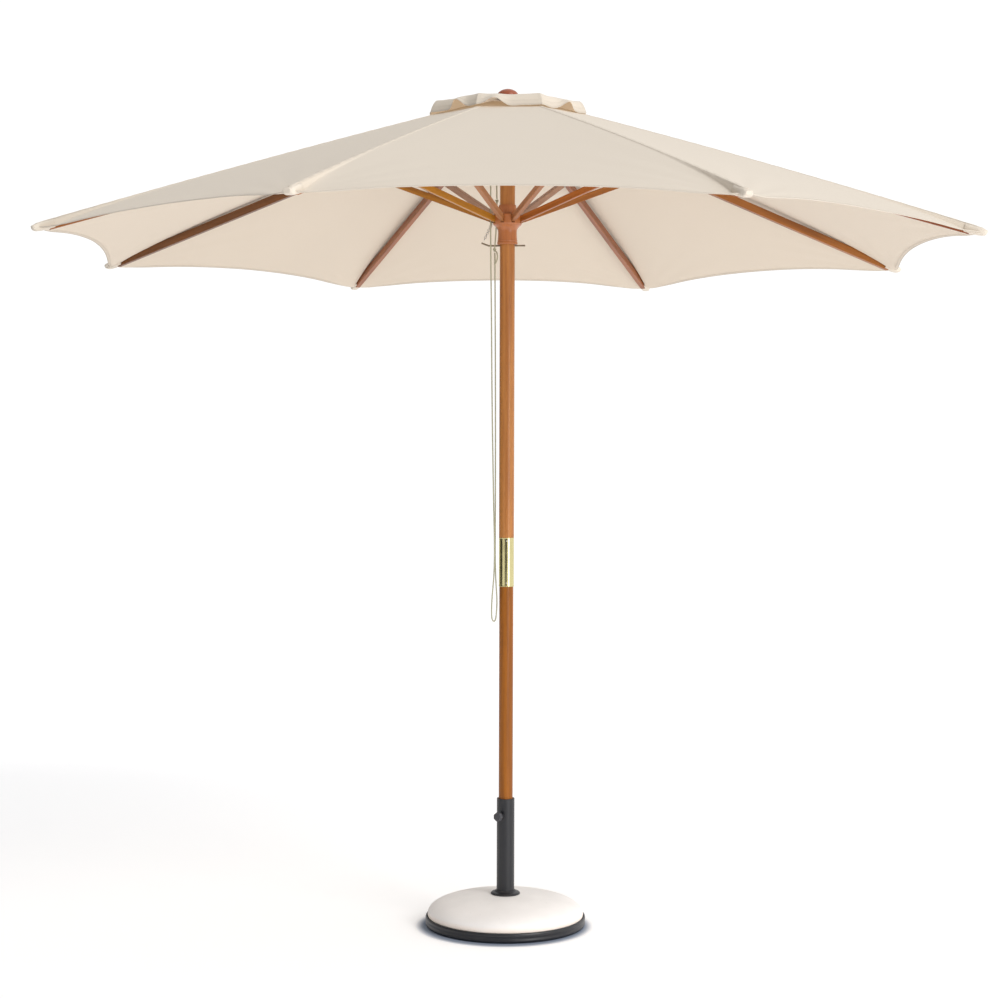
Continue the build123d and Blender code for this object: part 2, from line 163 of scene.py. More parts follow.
class Graph:
    """The node tree of one material, written as expressions."""

    def __init__(self, name: str) -> None:
        """Starts an empty material of that name."""
        self.material = bpy.data.materials.new(name)
        self.material.use_nodes = True
        self.tree = self.material.node_tree
        self.tree.nodes.clear()

    def node(self, kind: str, settings: Optional[Dict[str, Any]] = None,
             inputs: Optional[Dict[Any, Any]] = None) -> bpy.types.Node:
        """Adds a node of any type.

        Args:
            kind: the node's type.
            settings: its properties, and "stops" for a ramp as (place, colour) pairs.
            inputs: values or signals by socket name or number.

        Returns:
            The node.
        """
        made = self.tree.nodes.new(kind)
        for key, value in (settings or {}).items():
            if key == "stops":
                ramp = made.color_ramp
                for place, colour in value[2:]:
                    ramp.elements.new(place)
                for element, (place, colour) in zip(ramp.elements, value):
                    element.position, element.color = place, (*colour, 1)
            else:
                setattr(made, key, value)
        for key, value in (inputs or {}).items():
            if isinstance(value, Signal):
                self.tree.links.new(value.socket, made.inputs[key])
            else:
                made.inputs[key].default_value = value
        return made

    def signal(self, kind: str, settings: Optional[Dict[str, Any]] = None,
               inputs: Optional[Dict[Any, Any]] = None, output: Union[int, str] = 0) -> Signal:
        """Adds a node and returns one of its outputs.

        Args:
            kind: the node's type.
            settings: its properties.
            inputs: values or signals by socket name or number.
            output: the output's name or number.

        Returns:
            That output.
        """
        return Signal(self, self.node(kind, settings, inputs).outputs[output])

    def math(self, operation: str, *operands: Number) -> Signal:
        """Adds a Math node for an operation on numbers and signals."""
        return self.signal("ShaderNodeMath", {"operation": operation}, dict(enumerate(operands)))

    def space(self, rotation: Point = (0, 0, 0), location: Point = (0, 0, 0)) -> Signal:
        """Object coordinates seen from a turned and shifted set of axes.

        Args:
            rotation: turn of those axes, in radians.
            location: their origin, in metres.

        Returns:
            The coordinates.
        """
        place = self.signal("ShaderNodeTexCoord", output="Object")
        return self.signal("ShaderNodeMapping", {"vector_type": "TEXTURE"},
                           {"Vector": place, "Rotation": rotation, "Location": location})

    def stretch(self, vector: Signal, factors: Point) -> Signal:
        """A vector multiplied channel by channel."""
        return self.signal("ShaderNodeVectorMath", {"operation": "MULTIPLY"}, {0: vector, 1: factors})

    def split(self, vector: Signal) -> List[Signal]:
        """The three channels of a vector."""
        made = self.node("ShaderNodeSeparateXYZ", inputs={0: vector})
        return [Signal(self, made.outputs[i]) for i in range(3)]

    def noise(self, vector: Signal, scale: float, detail: float = 2.0) -> Signal:
        """Smooth noise around one half.

        Args:
            vector: where it is read.
            scale: its frequency per metre.
            detail: how many finer layers are added.

        Returns:
            The noise.
        """
        return self.signal("ShaderNodeTexNoise", inputs={"Vector": vector, "Scale": scale, "Detail": detail})

    def mix(self, factor: Number, first: Union[Colour, Signal], second: Union[Colour, Signal]) -> Signal:
        """Blends two colours.

        Args:
            factor: share of the second colour.
            first: colour at 0.
            second: colour at 1.

        Returns:
            The blend.
        """
        ends = [c if isinstance(c, Signal) else (*c, 1) for c in (first, second)]
        return self.signal("ShaderNodeMix", {"data_type": "RGBA", "clamp_factor": True},
                           {0: factor, 6: ends[0], 7: ends[1]}, output=2)

    def finish(self, colour: Union[Colour, Signal], roughness: Number, height: Optional[Signal] = None,
               depth: float = 0.001, strength: float = 1.0, **uniform: Any) -> bpy.types.Material:
        """Ends the graph in a Principled surface.

        Args:
            colour: base colour.
            roughness: roughness.
            height: relief, from 0 to 1.
            depth: height of a relief of 1, in metres.
            strength: how much of the relief shows.
            uniform: other sockets by name, with underscores for spaces, each a plain number.

        Returns:
            The finished material.
        """
        base = colour if isinstance(colour, Signal) else (*colour, 1)
        inputs = {"Base Color": base, "Roughness": roughness}
        inputs.update({key.replace("_", " "): value for key, value in uniform.items()})
        if height is not None:
            inputs["Normal"] = self.signal("ShaderNodeBump", inputs={
                "Height": height, "Distance": depth, "Strength": strength})
        surface = self.signal("ShaderNodeBsdfPrincipled", inputs=inputs)
        self.node("ShaderNodeOutputMaterial", inputs={"Surface": surface})
        return self.material


# ---- finishes ---------------------------------------------------------------------------
@dataclass(frozen=True)
class Finish:
    """A surface that makes its own material, once for each name."""

    name: str

    def material(self) -> bpy.types.Material:
        """The material of this finish, made at its first use."""
        return bpy.data.materials.get(self.name) or self.made(Graph(self.name))

    def made(self, graph: Graph) -> bpy.types.Material:
        """Fills the graph and returns its material."""
        raise NotImplementedError


@dataclass(frozen=True)
class VarnishedWood(Finish):
    """Straight-grained hardwood under satin varnish. The grain runs along X of its own turned axes."""

    light: Colour
    dark: Colour
    turn: Point = (0.0, -math.pi / 2, 0.0)
    shift: float = 0.0
    roughness: float = 0.40
    coat: float = 0.28

    def made(self, graph: Graph) -> bpy.types.Material:
        """Growth bands, fibres and short dark pores."""
        place = graph.space(self.turn, (self.shift, self.shift, 0))
        bands = graph.noise(graph.stretch(place, (1.1, 22, 22)), 1.0, 3)
        bands = (bands * 26).sin() * 0.5 + 0.5
        fibres = graph.noise(graph.stretch(place, (9, 420, 420)), 1.0, 3)
        pores = graph.noise(graph.stretch(place, (38, 900, 900)), 1.0, 2).band(0.6, 0.74)
        broad = graph.noise(graph.stretch(place, (1.6, 5, 5)), 1.0, 2)
        share = bands * 0.38 + fibres * 0.5 + broad * 0.34 - 0.1
        colour = graph.mix(share, self.dark, self.light)
        colour = graph.mix(pores * 0.45, colour, scaled(self.dark, 0.45))
        height = fibres * 0.5 + bands * 0.1 - pores * 0.7
        return graph.finish(colour, self.roughness + fibres * 0.14, height, 0.00025, 0.5,
                            Coat_Weight=self.coat, Coat_Roughness=0.14, Specular_IOR_Level=0.3)


@dataclass(frozen=True)
class TurnedWood(Finish):
    """Wood off the lathe: fine tool rings round Z, faint upright grain, satin varnish, and painted shade in
    the crown's slots where a crown is given.
    """

    light: Colour
    dark: Colour
    roughness: float = 0.34
    crown: Optional[Tuple[float, float]] = None

    def made(self, graph: Graph) -> bpy.types.Material:
        """Upright grain with tool rings, and painted shade inside the crown's slots."""
        place = graph.space()
        x, y, height_on = graph.split(place)
        grain = graph.noise(graph.stretch(place, (160, 160, 14)), 1.0, 3)
        broad = graph.noise(graph.stretch(place, (24, 24, 9)), 1.0, 2)
        rings = (height_on * 4200 + broad * 3).sin() * 0.5 + 0.5
        share = grain * 0.7 + broad * 0.4 - 0.06
        colour = graph.mix(share, self.dark, self.light)
        # painted shade: near-black wood inside the crown's outer radius and between its heights, where the
        # slots lie in shadow
        if self.crown:
            low, high = self.crown
            slot_shade = (x * x + y * y).band(CROWN_R ** 2, (CROWN_R * 0.8) ** 2)
            slot_shade = slot_shade * height_on.band(low, low + 0.002) * height_on.band(high, high - 0.001)
            colour = graph.mix(slot_shade * 0.85, colour, scaled(self.dark, 0.16))
        return graph.finish(colour, self.roughness + grain * 0.12, rings * 0.35 + grain * 0.6, 0.00012, 0.5,
                            Coat_Weight=0.4, Coat_Roughness=0.2)


@dataclass(frozen=True)
class Canvas(Finish):
    """Plain-woven cotton canvas with its seams and hem, read from the cloth's own maps."""

    colour: Colour
    edge_shade: float = 0.86
    # strength of a painted glow: emission that stands for light coming through the cloth
    painted_glow: float = 0.0

    def made(self, graph: Graph) -> bpy.types.Material:
        """Weave from the UV map, seam and hem bands from the edge map, and a painted glow in the cloth's own
        colour.
        """
        across, along, _ = graph.split(graph.signal("ShaderNodeUVMap", {"uv_map": "cloth"}))
        ridge, hem, _ = graph.split(graph.signal(
            "ShaderNodeAttribute", {"attribute_name": "edges"}, output="Vector"))
        place = graph.space()
        weave = ((across * 5200).sin() * (along * 5200).sin()) * 0.5 + 0.5
        slub_u = graph.noise(graph.stretch(place, (26, 26, 900)), 1.0, 2)
        cloud = graph.noise(place, 3.0, 3)
        fine = graph.noise(place, 160.0, 3)
        hem_band = hem.band(0.0135, 0.0115)
        seam_band = ridge.band(0.0105, 0.009)
        hem_line = hem.band(0.0045, 0.0020)
        double = graph.math("MAXIMUM", hem_band, seam_band)
        shade = (cloud - 0.5) * 0.09 + (slub_u - 0.5) * 0.06 + (fine - 0.5) * 0.05
        low = scaled(self.colour, 0.9)
        high = scaled(self.colour, 1.1)
        colour = graph.mix(shade + 0.5, low, high)
        edge = scaled(self.colour, self.edge_shade)
        colour = graph.mix(double * 0.3 + hem_line * 0.7, colour, edge)
        height = weave * 0.25 + slub_u * 0.35 + fine * 0.2 + double * 0.8 - hem_line * 0.7
        return graph.finish(colour, 0.82 + fine * 0.1, height, 0.0005, 0.45,
                            Sheen_Weight=0.12, Sheen_Roughness=0.5, Specular_IOR_Level=0.25,
                            Emission_Color=(*self.colour, 1), Emission_Strength=self.painted_glow)


@dataclass(frozen=True)
class CastConcrete(Finish):
    """Off-white cast concrete, rubbed smooth, with pinholes and a warmer rim."""

    colour: Colour

    def made(self, graph: Graph) -> bpy.types.Material:
        """Mottling, sand grain and a few pinholes."""
        place = graph.space()
        x, y, z = graph.split(place)
        cloud = graph.noise(place, 9.0, 4)
        sand = graph.noise(place, 700.0, 2)
        holes = graph.signal("ShaderNodeTexVoronoi", {"feature": "F1"}, {"Vector": place, "Scale": 85.0})
        holes = holes.band(0.13, 0.05) * graph.noise(place, 30.0, 1).band(0.5, 0.6)
        low, high = scaled(self.colour, 0.9), scaled(self.colour, 1.06)
        colour = graph.mix(cloud * 1.2 - 0.1, low, high)
        warm = (self.colour[0] * 0.97, self.colour[1] * 0.83, self.colour[2] * 0.7)
        colour = graph.mix(z.band(0.052, 0.036) * (cloud * 0.8 + 0.15), colour, warm)
        colour = graph.mix(holes * 0.5, colour, scaled(self.colour, 0.45))
        return graph.finish(colour, 0.6 + sand * 0.2, sand * 0.3 + cloud * 0.4 - holes, 0.0006, 0.5,
                            Specular_IOR_Level=0.35)


@dataclass(frozen=True)
class SatinPaint(Finish):
    """Powder coat: fine orange peel, scuffs on the parts that are handled."""

    colour: Colour
    roughness: float = 0.36

    def made(self, graph: Graph) -> bpy.types.Material:
        """Orange peel with dull scuffs."""
        place = graph.space()
        peel = graph.noise(place, 480.0, 2)
        wear = graph.noise(graph.stretch(place, (30, 30, 12)), 1.0, 4).band(0.55, 0.8)
        dust = graph.noise(place, 14.0, 4)
        pale = tuple(c * 1.7 + 0.01 for c in self.colour)
        colour = graph.mix(wear * 0.35 + dust * 0.22, self.colour, pale)
        return graph.finish(colour, self.roughness + wear * 0.16 + dust * 0.06, peel, 0.00025, 0.3,
                            Coat_Weight=0.1, Coat_Roughness=0.3)


@dataclass(frozen=True)
class MouldedPlastic(Finish):
    """Moulded plastic with a spark-eroded grain."""

    colour: Colour
    roughness: float = 0.45

    def made(self, graph: Graph) -> bpy.types.Material:
        """Fine grain and slightly polished high spots."""
        place = graph.space()
        grain = graph.noise(place, 1400.0, 2)
        rub = graph.noise(place, 60.0, 3)
        colour = graph.mix(rub * 0.5, self.colour, tuple(c * 1.5 + 0.004 for c in self.colour))
        return graph.finish(colour, self.roughness + grain * 0.2 - rub * 0.08, grain, 0.0001, 0.6)


@dataclass(frozen=True)
class Metal(Finish):
    """Drawn or rolled metal with fine lines along Z and faint tarnish."""

    colour: Colour
    tarnish: Colour
    roughness: float = 0.25
    spots: float = 0.3

    def made(self, graph: Graph) -> bpy.types.Material:
        """Draw lines and clouds of tarnish."""
        place = graph.space()
        lines = graph.noise(graph.stretch(place, (1500, 1500, 30)), 1.0, 2)
        cloud = graph.noise(graph.stretch(place, (1, 1, 0.3)), 60.0, 3).band(0.45, 0.9)
        colour = graph.mix(cloud * self.spots, self.colour, self.tarnish)
        rough = self.roughness + lines * 0.12 + cloud * 0.22 * self.spots
        return graph.finish(colour, rough, lines, 0.00008, 0.4, Metallic=1.0)


@dataclass(frozen=True)
class BraidedCord(Finish):
    """Round braided cord: crossing strands from the tube's own map."""

    colour: Colour
    dark: Colour
    strands: int = 6
    pitch: float = 0.011

    def made(self, graph: Graph) -> bpy.types.Material:
        """Two crossing families of strands, with painted shade in the grooves between them."""
        around, along, _ = graph.split(graph.signal("ShaderNodeUVMap", {"uv_map": "cloth"}))
        turn, rise = 2 * math.pi * self.strands, 2 * math.pi * self.strands / self.pitch / 4
        left = (around * turn + along * rise).sin() * 0.5 + 0.5
        right = (around * turn - along * rise).sin() * 0.5 + 0.5
        braid = graph.math("MAXIMUM", left ** 0.6, right ** 0.6)
        fuzz = graph.noise(graph.space(), 900.0, 3)
        soil = graph.noise(graph.space(), 18.0, 2)
        # painted shade: the dark tone fills the grooves between strands; the soil patches on the next line
        # are real dirt
        colour = graph.mix(braid * 0.8 + fuzz * 0.3 - 0.15, self.dark, self.colour)
        colour = graph.mix(soil.band(0.45, 0.8) * 0.3, colour, self.dark)
        return graph.finish(colour, 0.8 + fuzz * 0.1, braid + fuzz * 0.3, 0.0006, 0.7)


@dataclass(frozen=True)
class SewingThread(Finish):
    """Twisted polyester thread."""

    colour: Colour

    def made(self, graph: Graph) -> bpy.types.Material:
        """Faint twist."""
        place = graph.space()
        twist = graph.noise(place, 2500.0, 1)
        colour = graph.mix(twist, scaled(self.colour, 0.8), self.colour)
        return graph.finish(colour, 0.6 + twist * 0.1, twist, 0.0001, 0.5)


CANVAS_TOP = Canvas("canvas_outside", tint("E0D5C6"))
# canopy underside: a warmer tint than the outside, standing for light coming through the cloth
CANVAS_UNDER = Canvas("canvas_underside", tint("DED0BE"), 0.70)
# cap underside: a brighter tint and a painted glow, both standing for light coming through the cloth
CANVAS_CAP_UNDER = Canvas("canvas_cap_underside", tint("E8D6BC"), 0.85, 0.30)
THREAD = SewingThread("canvas_thread", tint("CFC7B8"))
CONCRETE = CastConcrete("cast_concrete", tint("F6F3F1"))
PAINT = SatinPaint("black_satin_paint", tint("17181D"))
PLASTIC = MouldedPlastic("black_plastic", tint("0F0F12"))
PALE_PLASTIC = MouldedPlastic("pulley_nylon", tint("B9B5AA"))
BRASS = Metal("polished_brass", tint("D8CE98"), tint("9A8B5C"), 0.10, 0.25)
STEEL = Metal("drawn_steel", tint("B7B5B0"), tint("6F675C"), 0.3, 0.5)
PIN_STEEL = Metal("pin_steel", tint("9C8F7C"), tint("584A3A"), 0.34, 0.6)
IRON = Metal("cast_iron", tint("6B6A68"), tint("3D3834"), 0.5, 0.6)
CORD = BraidedCord("olive_cord", tint("423F2E"), tint("201F16"))
UPPER_WOOD = VarnishedWood("upper_pole_wood", tint("C88644"), tint("985A2A"), shift=0.3)
LOWER_WOOD = VarnishedWood("lower_pole_wood", tint("A86208"), tint("743E00"), shift=0.9, coat=0.12)
DOWEL_WOOD = VarnishedWood("dowel_beech", tint("D9B88A"), tint("B98F5D"), shift=0.1)
RUNNER_WOOD = TurnedWood("runner_wood", tint("C4763A"), tint("985426"), 0.34, RUNNER_CROWN)
HUB_WOOD = TurnedWood("hub_wood", tint("C0703C"), tint("8C4A22"), 0.34, HUB_CROWN)
FINIAL_WOOD = TurnedWood("finial_wood", tint("B0531F"), tint("83360C"), 0.4)
RIB_TONES = [("B4702F", "6E3A12"), ("A86334", "6E3A1C"), ("A86334", "6C381A"), ("8E5A30", "553218"),
             ("A8662E", "703C14"), ("C08048", "8E5224"), ("B4662C", "783C12"), ("A85C2C", "6E3414")]
STRUT_TONES = [("BC7430", "80480F"), ("B88C70", "8A6048"), ("B88C70", "8A5E44"), ("C08028", "865010"),
               ("C48420", "8C5608"), ("C08450", "8E542A"), ("BC7C4C", "86502A"), ("BC6C26", "7C400C")]


def rib_wood(number: int) -> VarnishedWood:
    """The wood of rib number 1 to 8, its grain along the rib."""
    light, dark = RIB_TONES[number - 1]
    turn = (0, RIB_SLOPE, azimuth_of(number))
    return VarnishedWood(f"rib_wood_{number}", tint(light), tint(dark), turn, 0.37 * number)


def strut_wood(number: int) -> VarnishedWood:
    """The wood of strut number 1 to 8, its grain along the strut."""
    light, dark = STRUT_TONES[number - 1]
    turn = (0, -STRUT_SLOPE, azimuth_of(number))
    return VarnishedWood(f"strut_wood_{number}", tint(light), tint(dark), turn, 0.53 * number)


# ---- mesh helpers -----------------------------------------------------------------------
def build(name: str, points: np.ndarray, faces: Sequence[Sequence[int]], finishes: Sequence[Finish],
          sharp: float = 40.0) -> bpy.types.Object:
    """Makes a smooth-shaded object from a closed set of faces, turned outwards.

    Args:
        name: the piece's name.
        points: vertices.
        faces: vertex numbers of each face.
        finishes: materials of its slots.
        sharp: edges steeper than this many degrees stay sharp.

    Returns:
        The object.
    """
    corners = np.array([(f[0], f[i], f[i + 1]) for f in faces for i in range(1, len(f) - 1)])
    a, b, c = (points[corners[:, i]] for i in range(3))
    if np.einsum("ij,ij->i", a, np.cross(b, c)).sum() < 0:
        faces = [tuple(reversed(tuple(f))) for f in faces]
    mesh = bpy.data.meshes.new(name)
    mesh.from_pydata(points.tolist(), [], [tuple(int(i) for i in f) for f in faces])
    mesh.polygons.foreach_set("use_smooth", [True] * len(mesh.polygons))
    mesh.set_sharp_from_angle(angle=math.radians(sharp))
    mesh.update()
    made = bpy.data.objects.new(name, mesh)
    bpy.context.scene.collection.objects.link(made)
    for finish in finishes:
        mesh.materials.append(finish.material())
    return made


def map_cloth(piece: bpy.types.Object, spots: np.ndarray) -> None:
    """Gives a mesh its UV map from one pair of values for each vertex."""
    mesh = piece.data
    layer = mesh.uv_layers.new(name="cloth")
    which = np.zeros(len(mesh.loops), np.int32)
    mesh.loops.foreach_get("vertex_index", which)
    layer.data.foreach_set("uv", spots[which].astype(np.float32).ravel())


def map_edges(piece: bpy.types.Object, edges: np.ndarray) -> None:
    """Stores each vertex's distance to the ridge seam and to the hem."""
    stored = piece.data.attributes.new("edges", "FLOAT_VECTOR", "POINT")
    flat = np.column_stack([edges, np.zeros(len(edges))]).astype(np.float32).ravel()
    stored.data.foreach_set("vector", flat)


def settle(piece: bpy.types.Object, body: str, node: Optional[str] = None) -> None:
    """Puts a piece on its body and hides the CAD part it stands in for.

    Args:
        piece: the piece.
        body: the body it rides on.
        node: the CAD part it stands in for, if any.
    """
    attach(piece, body)
    if node:
        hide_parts(node)


def grid_faces(index: np.ndarray) -> np.ndarray:
    """Four-sided faces of a grid of vertex numbers."""
    return np.stack([index[:-1, :-1], index[1:, :-1], index[1:, 1:], index[:-1, 1:]], -1).reshape(-1, 4)


def capped(points: np.ndarray, wide: np.ndarray, ends: Sequence[Point]) -> Tuple[np.ndarray, list]:
    """Closes rings of points with a fan of triangles at each end.

    Args:
        points: vertices of the rings.
        wide: their numbers, each row ending with its first number again.
        ends: middle point of each fan.

    Returns:
        All vertices and all faces.
    """
    first, last = len(points), len(points) + 1
    columns = range(wide.shape[1] - 1)
    faces = grid_faces(wide).tolist()
    faces += [(first, wide[0, j], wide[0, j + 1]) for j in columns]
    faces += [(last, wide[-1, j + 1], wide[-1, j]) for j in columns]
    return np.vstack([points, *ends]), faces


def cloth(name: str, top: np.ndarray, bottom: np.ndarray, spots: np.ndarray, edges: np.ndarray,
          finishes: Sequence[Finish]) -> bpy.types.Object:
    """A closed sheet between two grids of points.

    Args:
        name: the piece's name.
        top: rows by columns by 3, the outside.
        bottom: the underside, the same shape.
        spots: rows by columns by 2, the place on the flat cloth in metres.
        edges: rows by columns by 2, distance to the ridge seam and to the hem.
        finishes: outside and underside.

    Returns:
        The object.
    """
    rows, columns = top.shape[:2]
    count = rows * columns
    index = np.arange(count).reshape(rows, columns)
    upper, lower = grid_faces(index), grid_faces(index + count)[:, ::-1]
    loop = np.concatenate([index[0, :], index[1:, -1], index[-1, -2::-1], index[-2:0:-1, 0]])
    following = np.roll(loop, -1)
    rim = np.stack([loop, following, following + count, loop + count], -1)
    points = np.concatenate([top.reshape(-1, 3), bottom.reshape(-1, 3)])
    faces = np.concatenate([upper, lower, rim])
    made = build(name, points, faces.tolist(), finishes, 30.0)
    under = np.zeros(len(faces), np.int32)
    under[len(upper):len(upper) + len(lower)] = 1
    made.data.polygons.foreach_set("material_index", under)
    map_cloth(made, np.tile(spots.reshape(-1, 2), (2, 1)))
    map_edges(made, np.tile(edges.reshape(-1, 2), (2, 1)))
    return made


def lathe(name: str, outline: Sequence[Tuple[float, float]], finish: Finish, segments: int = 96,
          closed: bool = False, sharp: float = 40.0) -> bpy.types.Object:
    """A shape turned about Z.

    Args:
        name: the piece's name.
        outline: radius and height of each point, from pole to pole or, closed, once round a ring.
        finish: its finish.
        segments: faces round the axis.
        closed: True for a ring with a hole through it.
        sharp: edges steeper than this many degrees stay sharp.

    Returns:
        The object.
    """
    inner = list(outline) if closed else list(outline)[1:-1]
    angles = np.arange(segments) * 2 * math.pi / segments
    rings = np.array([[(r * math.cos(a), r * math.sin(a), z) for a in angles] for r, z in inner])
    index = np.arange(len(inner) * segments).reshape(len(inner), segments)
    wide = np.column_stack([index, index[:, 0]])
    points = rings.reshape(-1, 3)
    if closed:
        faces = grid_faces(np.vstack([wide, wide[0]])).tolist()
    else:
        ends = ((0, 0, outline[0][1]), (0, 0, outline[-1][1]))
        points, faces = capped(points, wide, ends)
    return build(name, points, faces, [finish], sharp)


def spline_points(points: Sequence[Point], resolution: int = 24) -> np.ndarray:
    """Points along the smooth line that a route's points control.

    Args:
        points: control points of the route.
        resolution: points for each control point.

    Returns:
        Points in order, read from the spline itself.
    """
    curve = bpy.data.curves.new("route", "CURVE")
    curve.dimensions = "3D"
    spline = curve.splines.new("NURBS")
    spline.points.add(len(points) - 1)
    for spot, point in zip(spline.points, points):
        spot.co = (*point, 1)
    spline.order_u = 3
    spline.use_endpoint_u = True
    spline.resolution_u = resolution
    holder = bpy.data.objects.new("route", curve)
    bpy.context.scene.collection.objects.link(holder)
    bpy.context.view_layer.update()
    mesh = bpy.data.meshes.new_from_object(holder)
    found = np.array([v.co for v in mesh.vertices])
    bpy.data.objects.remove(holder)
    bpy.data.meshes.remove(mesh)
    bpy.data.curves.remove(curve)
    return found


def lengths(line: np.ndarray) -> np.ndarray:
    """Distance along a line to each of its points."""
    return np.concatenate([[0], np.cumsum(np.linalg.norm(np.diff(line, axis=0), axis=1))])


def tube(name: str, line: np.ndarray, radius: float, finish: Finish, segments: int = 12) -> bpy.types.Object:
    """A round tube along points, its ends rounded off.

    Args:
        name: the piece's name.
        line: points of its centre line.
        radius: its radius.
        finish: its finish.
        segments: faces round it.

    Returns:
        The object, mapped round and along.
    """
    start, end = line[0] - line[1], line[-1] - line[-2]
    start, end = start / np.linalg.norm(start), end / np.linalg.norm(end)
    line = np.vstack([line[0], line[0] - start * radius * 0.25, line[1:-1],
                      line[-1] - end * radius * 0.25, line[-1]])
    shares = np.ones(len(line))
    shares[[0, -1]] = 0.66
    along = np.gradient(line, axis=0)
    along /= np.linalg.norm(along, axis=1)[:, None]
    side = np.cross(along[0], (0.3, 1, 0.2))
    sides = []
    for direction in along:
        side = side - direction * (side @ direction)
        side = side / np.linalg.norm(side)
        sides.append(side)
    sides = np.array(sides)
    ups = np.cross(along, sides)
    angles = np.arange(segments) * 2 * math.pi / segments
    rings = (line[:, None] + radius * shares[:, None, None] * (
        np.cos(angles)[None, :, None] * sides[:, None] + np.sin(angles)[None, :, None] * ups[:, None]))
    index = np.arange(len(line) * segments).reshape(len(line), segments)
    faces = grid_faces(np.column_stack([index, index[:, 0]])).tolist()
    faces += [tuple(index[0, ::-1]), tuple(index[-1])]
    made = build(name, rings.reshape(-1, 3), faces, [finish], 60.0)
    turns = (np.arange(segments) / segments)[None, :]
    spots = np.stack(np.broadcast_arrays(turns, lengths(line)[:, None]), -1)
    map_cloth(made, spots.reshape(-1, 2))
    return made


def dress(nodes: Sequence[str], finish: Finish) -> None:
    """Gives CAD parts a finish.

    Args:
        nodes: names of the parts.
        finish: what they are finished in.
    """
    for node in nodes:
        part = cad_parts[node]
        for slot in part.material_slots:
            slot.material = finish.material()
        if not part.material_slots:
            part.data.materials.append(finish.material())
    log.info("dressed %s in %s", ", ".join(nodes), finish.name)


# ---- repeated pieces, grown by geometry nodes ---------------------------------------------
class Repeat:
    """A geometry tree with named inputs that ends in plain faces of one material."""

    def __init__(self, name: str, sizes: Dict[str, float], finish: Finish) -> None:
        """Starts the tree with one float input for each size."""
        self.tree = bpy.data.node_groups.new(name, "GeometryNodeTree")
        self.sizes, self.finish = sizes, finish
        self.tree.interface.new_socket("Geometry", in_out="INPUT", socket_type="NodeSocketGeometry")
        for size in sizes:
            self.tree.interface.new_socket(size, in_out="INPUT", socket_type="NodeSocketFloat")
        self.tree.interface.new_socket("Geometry", in_out="OUTPUT", socket_type="NodeSocketGeometry")
        self.given = self.node("NodeGroupInput").outputs

    def node(self, kind: str, settings: Optional[Dict[str, Any]] = None,
             inputs: Optional[Dict[Any, Any]] = None) -> bpy.types.Node:
        """Adds a node, its settings first and then its values and links."""
        made = self.tree.nodes.new(kind)
        for key, value in (settings or {}).items():
            setattr(made, key, value)
        for key, value in (inputs or {}).items():
            if isinstance(value, bpy.types.NodeSocket):
                self.tree.links.new(value, made.inputs[key])
            else:
                made.inputs[key].default_value = value
        return made

    def math(self, operation: str, first: Any, second: Any) -> bpy.types.NodeSocket:
        """Adds a Math node and returns its result."""
        return self.node("ShaderNodeMath", {"operation": operation}, {0: first, 1: second}).outputs[0]

    def vector(self, x: Any, y: Any, z: Any) -> bpy.types.NodeSocket:
        """Three numbers as one vector."""
        return self.node("ShaderNodeCombineXYZ", inputs={0: x, 1: y, 2: z}).outputs[0]

    def end(self, geometry: bpy.types.NodeSocket) -> None:
        """Ends the tree: realized, and in its material."""
        real = self.node("GeometryNodeRealizeInstances", inputs={"Geometry": geometry}).outputs[0]
        flat = self.node("GeometryNodeSetMaterial", inputs={
            "Geometry": real, "Material": self.finish.material()}).outputs[0]
        out = self.node("NodeGroupOutput")
        self.tree.links.new(flat, out.inputs[0])

    def grow(self, name: str, points: np.ndarray, lines: Sequence[Tuple[int, int]],
             facing: Optional[np.ndarray] = None) -> bpy.types.Object:
        """Grows the tree on points and turns the result into a plain mesh.

        Args:
            name: the piece's name.
            points: where it grows.
            lines: pairs of points that a line joins.
            facing: direction for each point, where the tree reads it.

        Returns:
            The finished object.
        """
        seed = bpy.data.meshes.new(name + "_seed")
        seed.from_pydata(points.tolist(), list(lines), [])
        if facing is not None:
            stored = seed.attributes.new("facing", "FLOAT_VECTOR", "POINT")
            stored.data.foreach_set("vector", facing.astype(np.float32).ravel())
        holder = bpy.data.objects.new(name + "_seed", seed)
        bpy.context.scene.collection.objects.link(holder)
        grown = holder.modifiers.new("grow", "NODES")
        grown.node_group = self.tree
        for item in self.tree.interface.items_tree:
            if item.in_out == "INPUT" and item.name in self.sizes:
                grown[item.identifier] = self.sizes[item.name]
        holder.update_tag()
        graph = bpy.context.evaluated_depsgraph_get()
        graph.update()
        mesh = bpy.data.meshes.new_from_object(holder.evaluated_get(graph), depsgraph=graph)
        mesh.name = name
        bpy.data.objects.remove(holder)
        bpy.data.meshes.remove(seed)
        mesh.polygons.foreach_set("use_smooth", [True] * len(mesh.polygons))
        made = bpy.data.objects.new(name, mesh)
        bpy.context.scene.collection.objects.link(made)
        return made


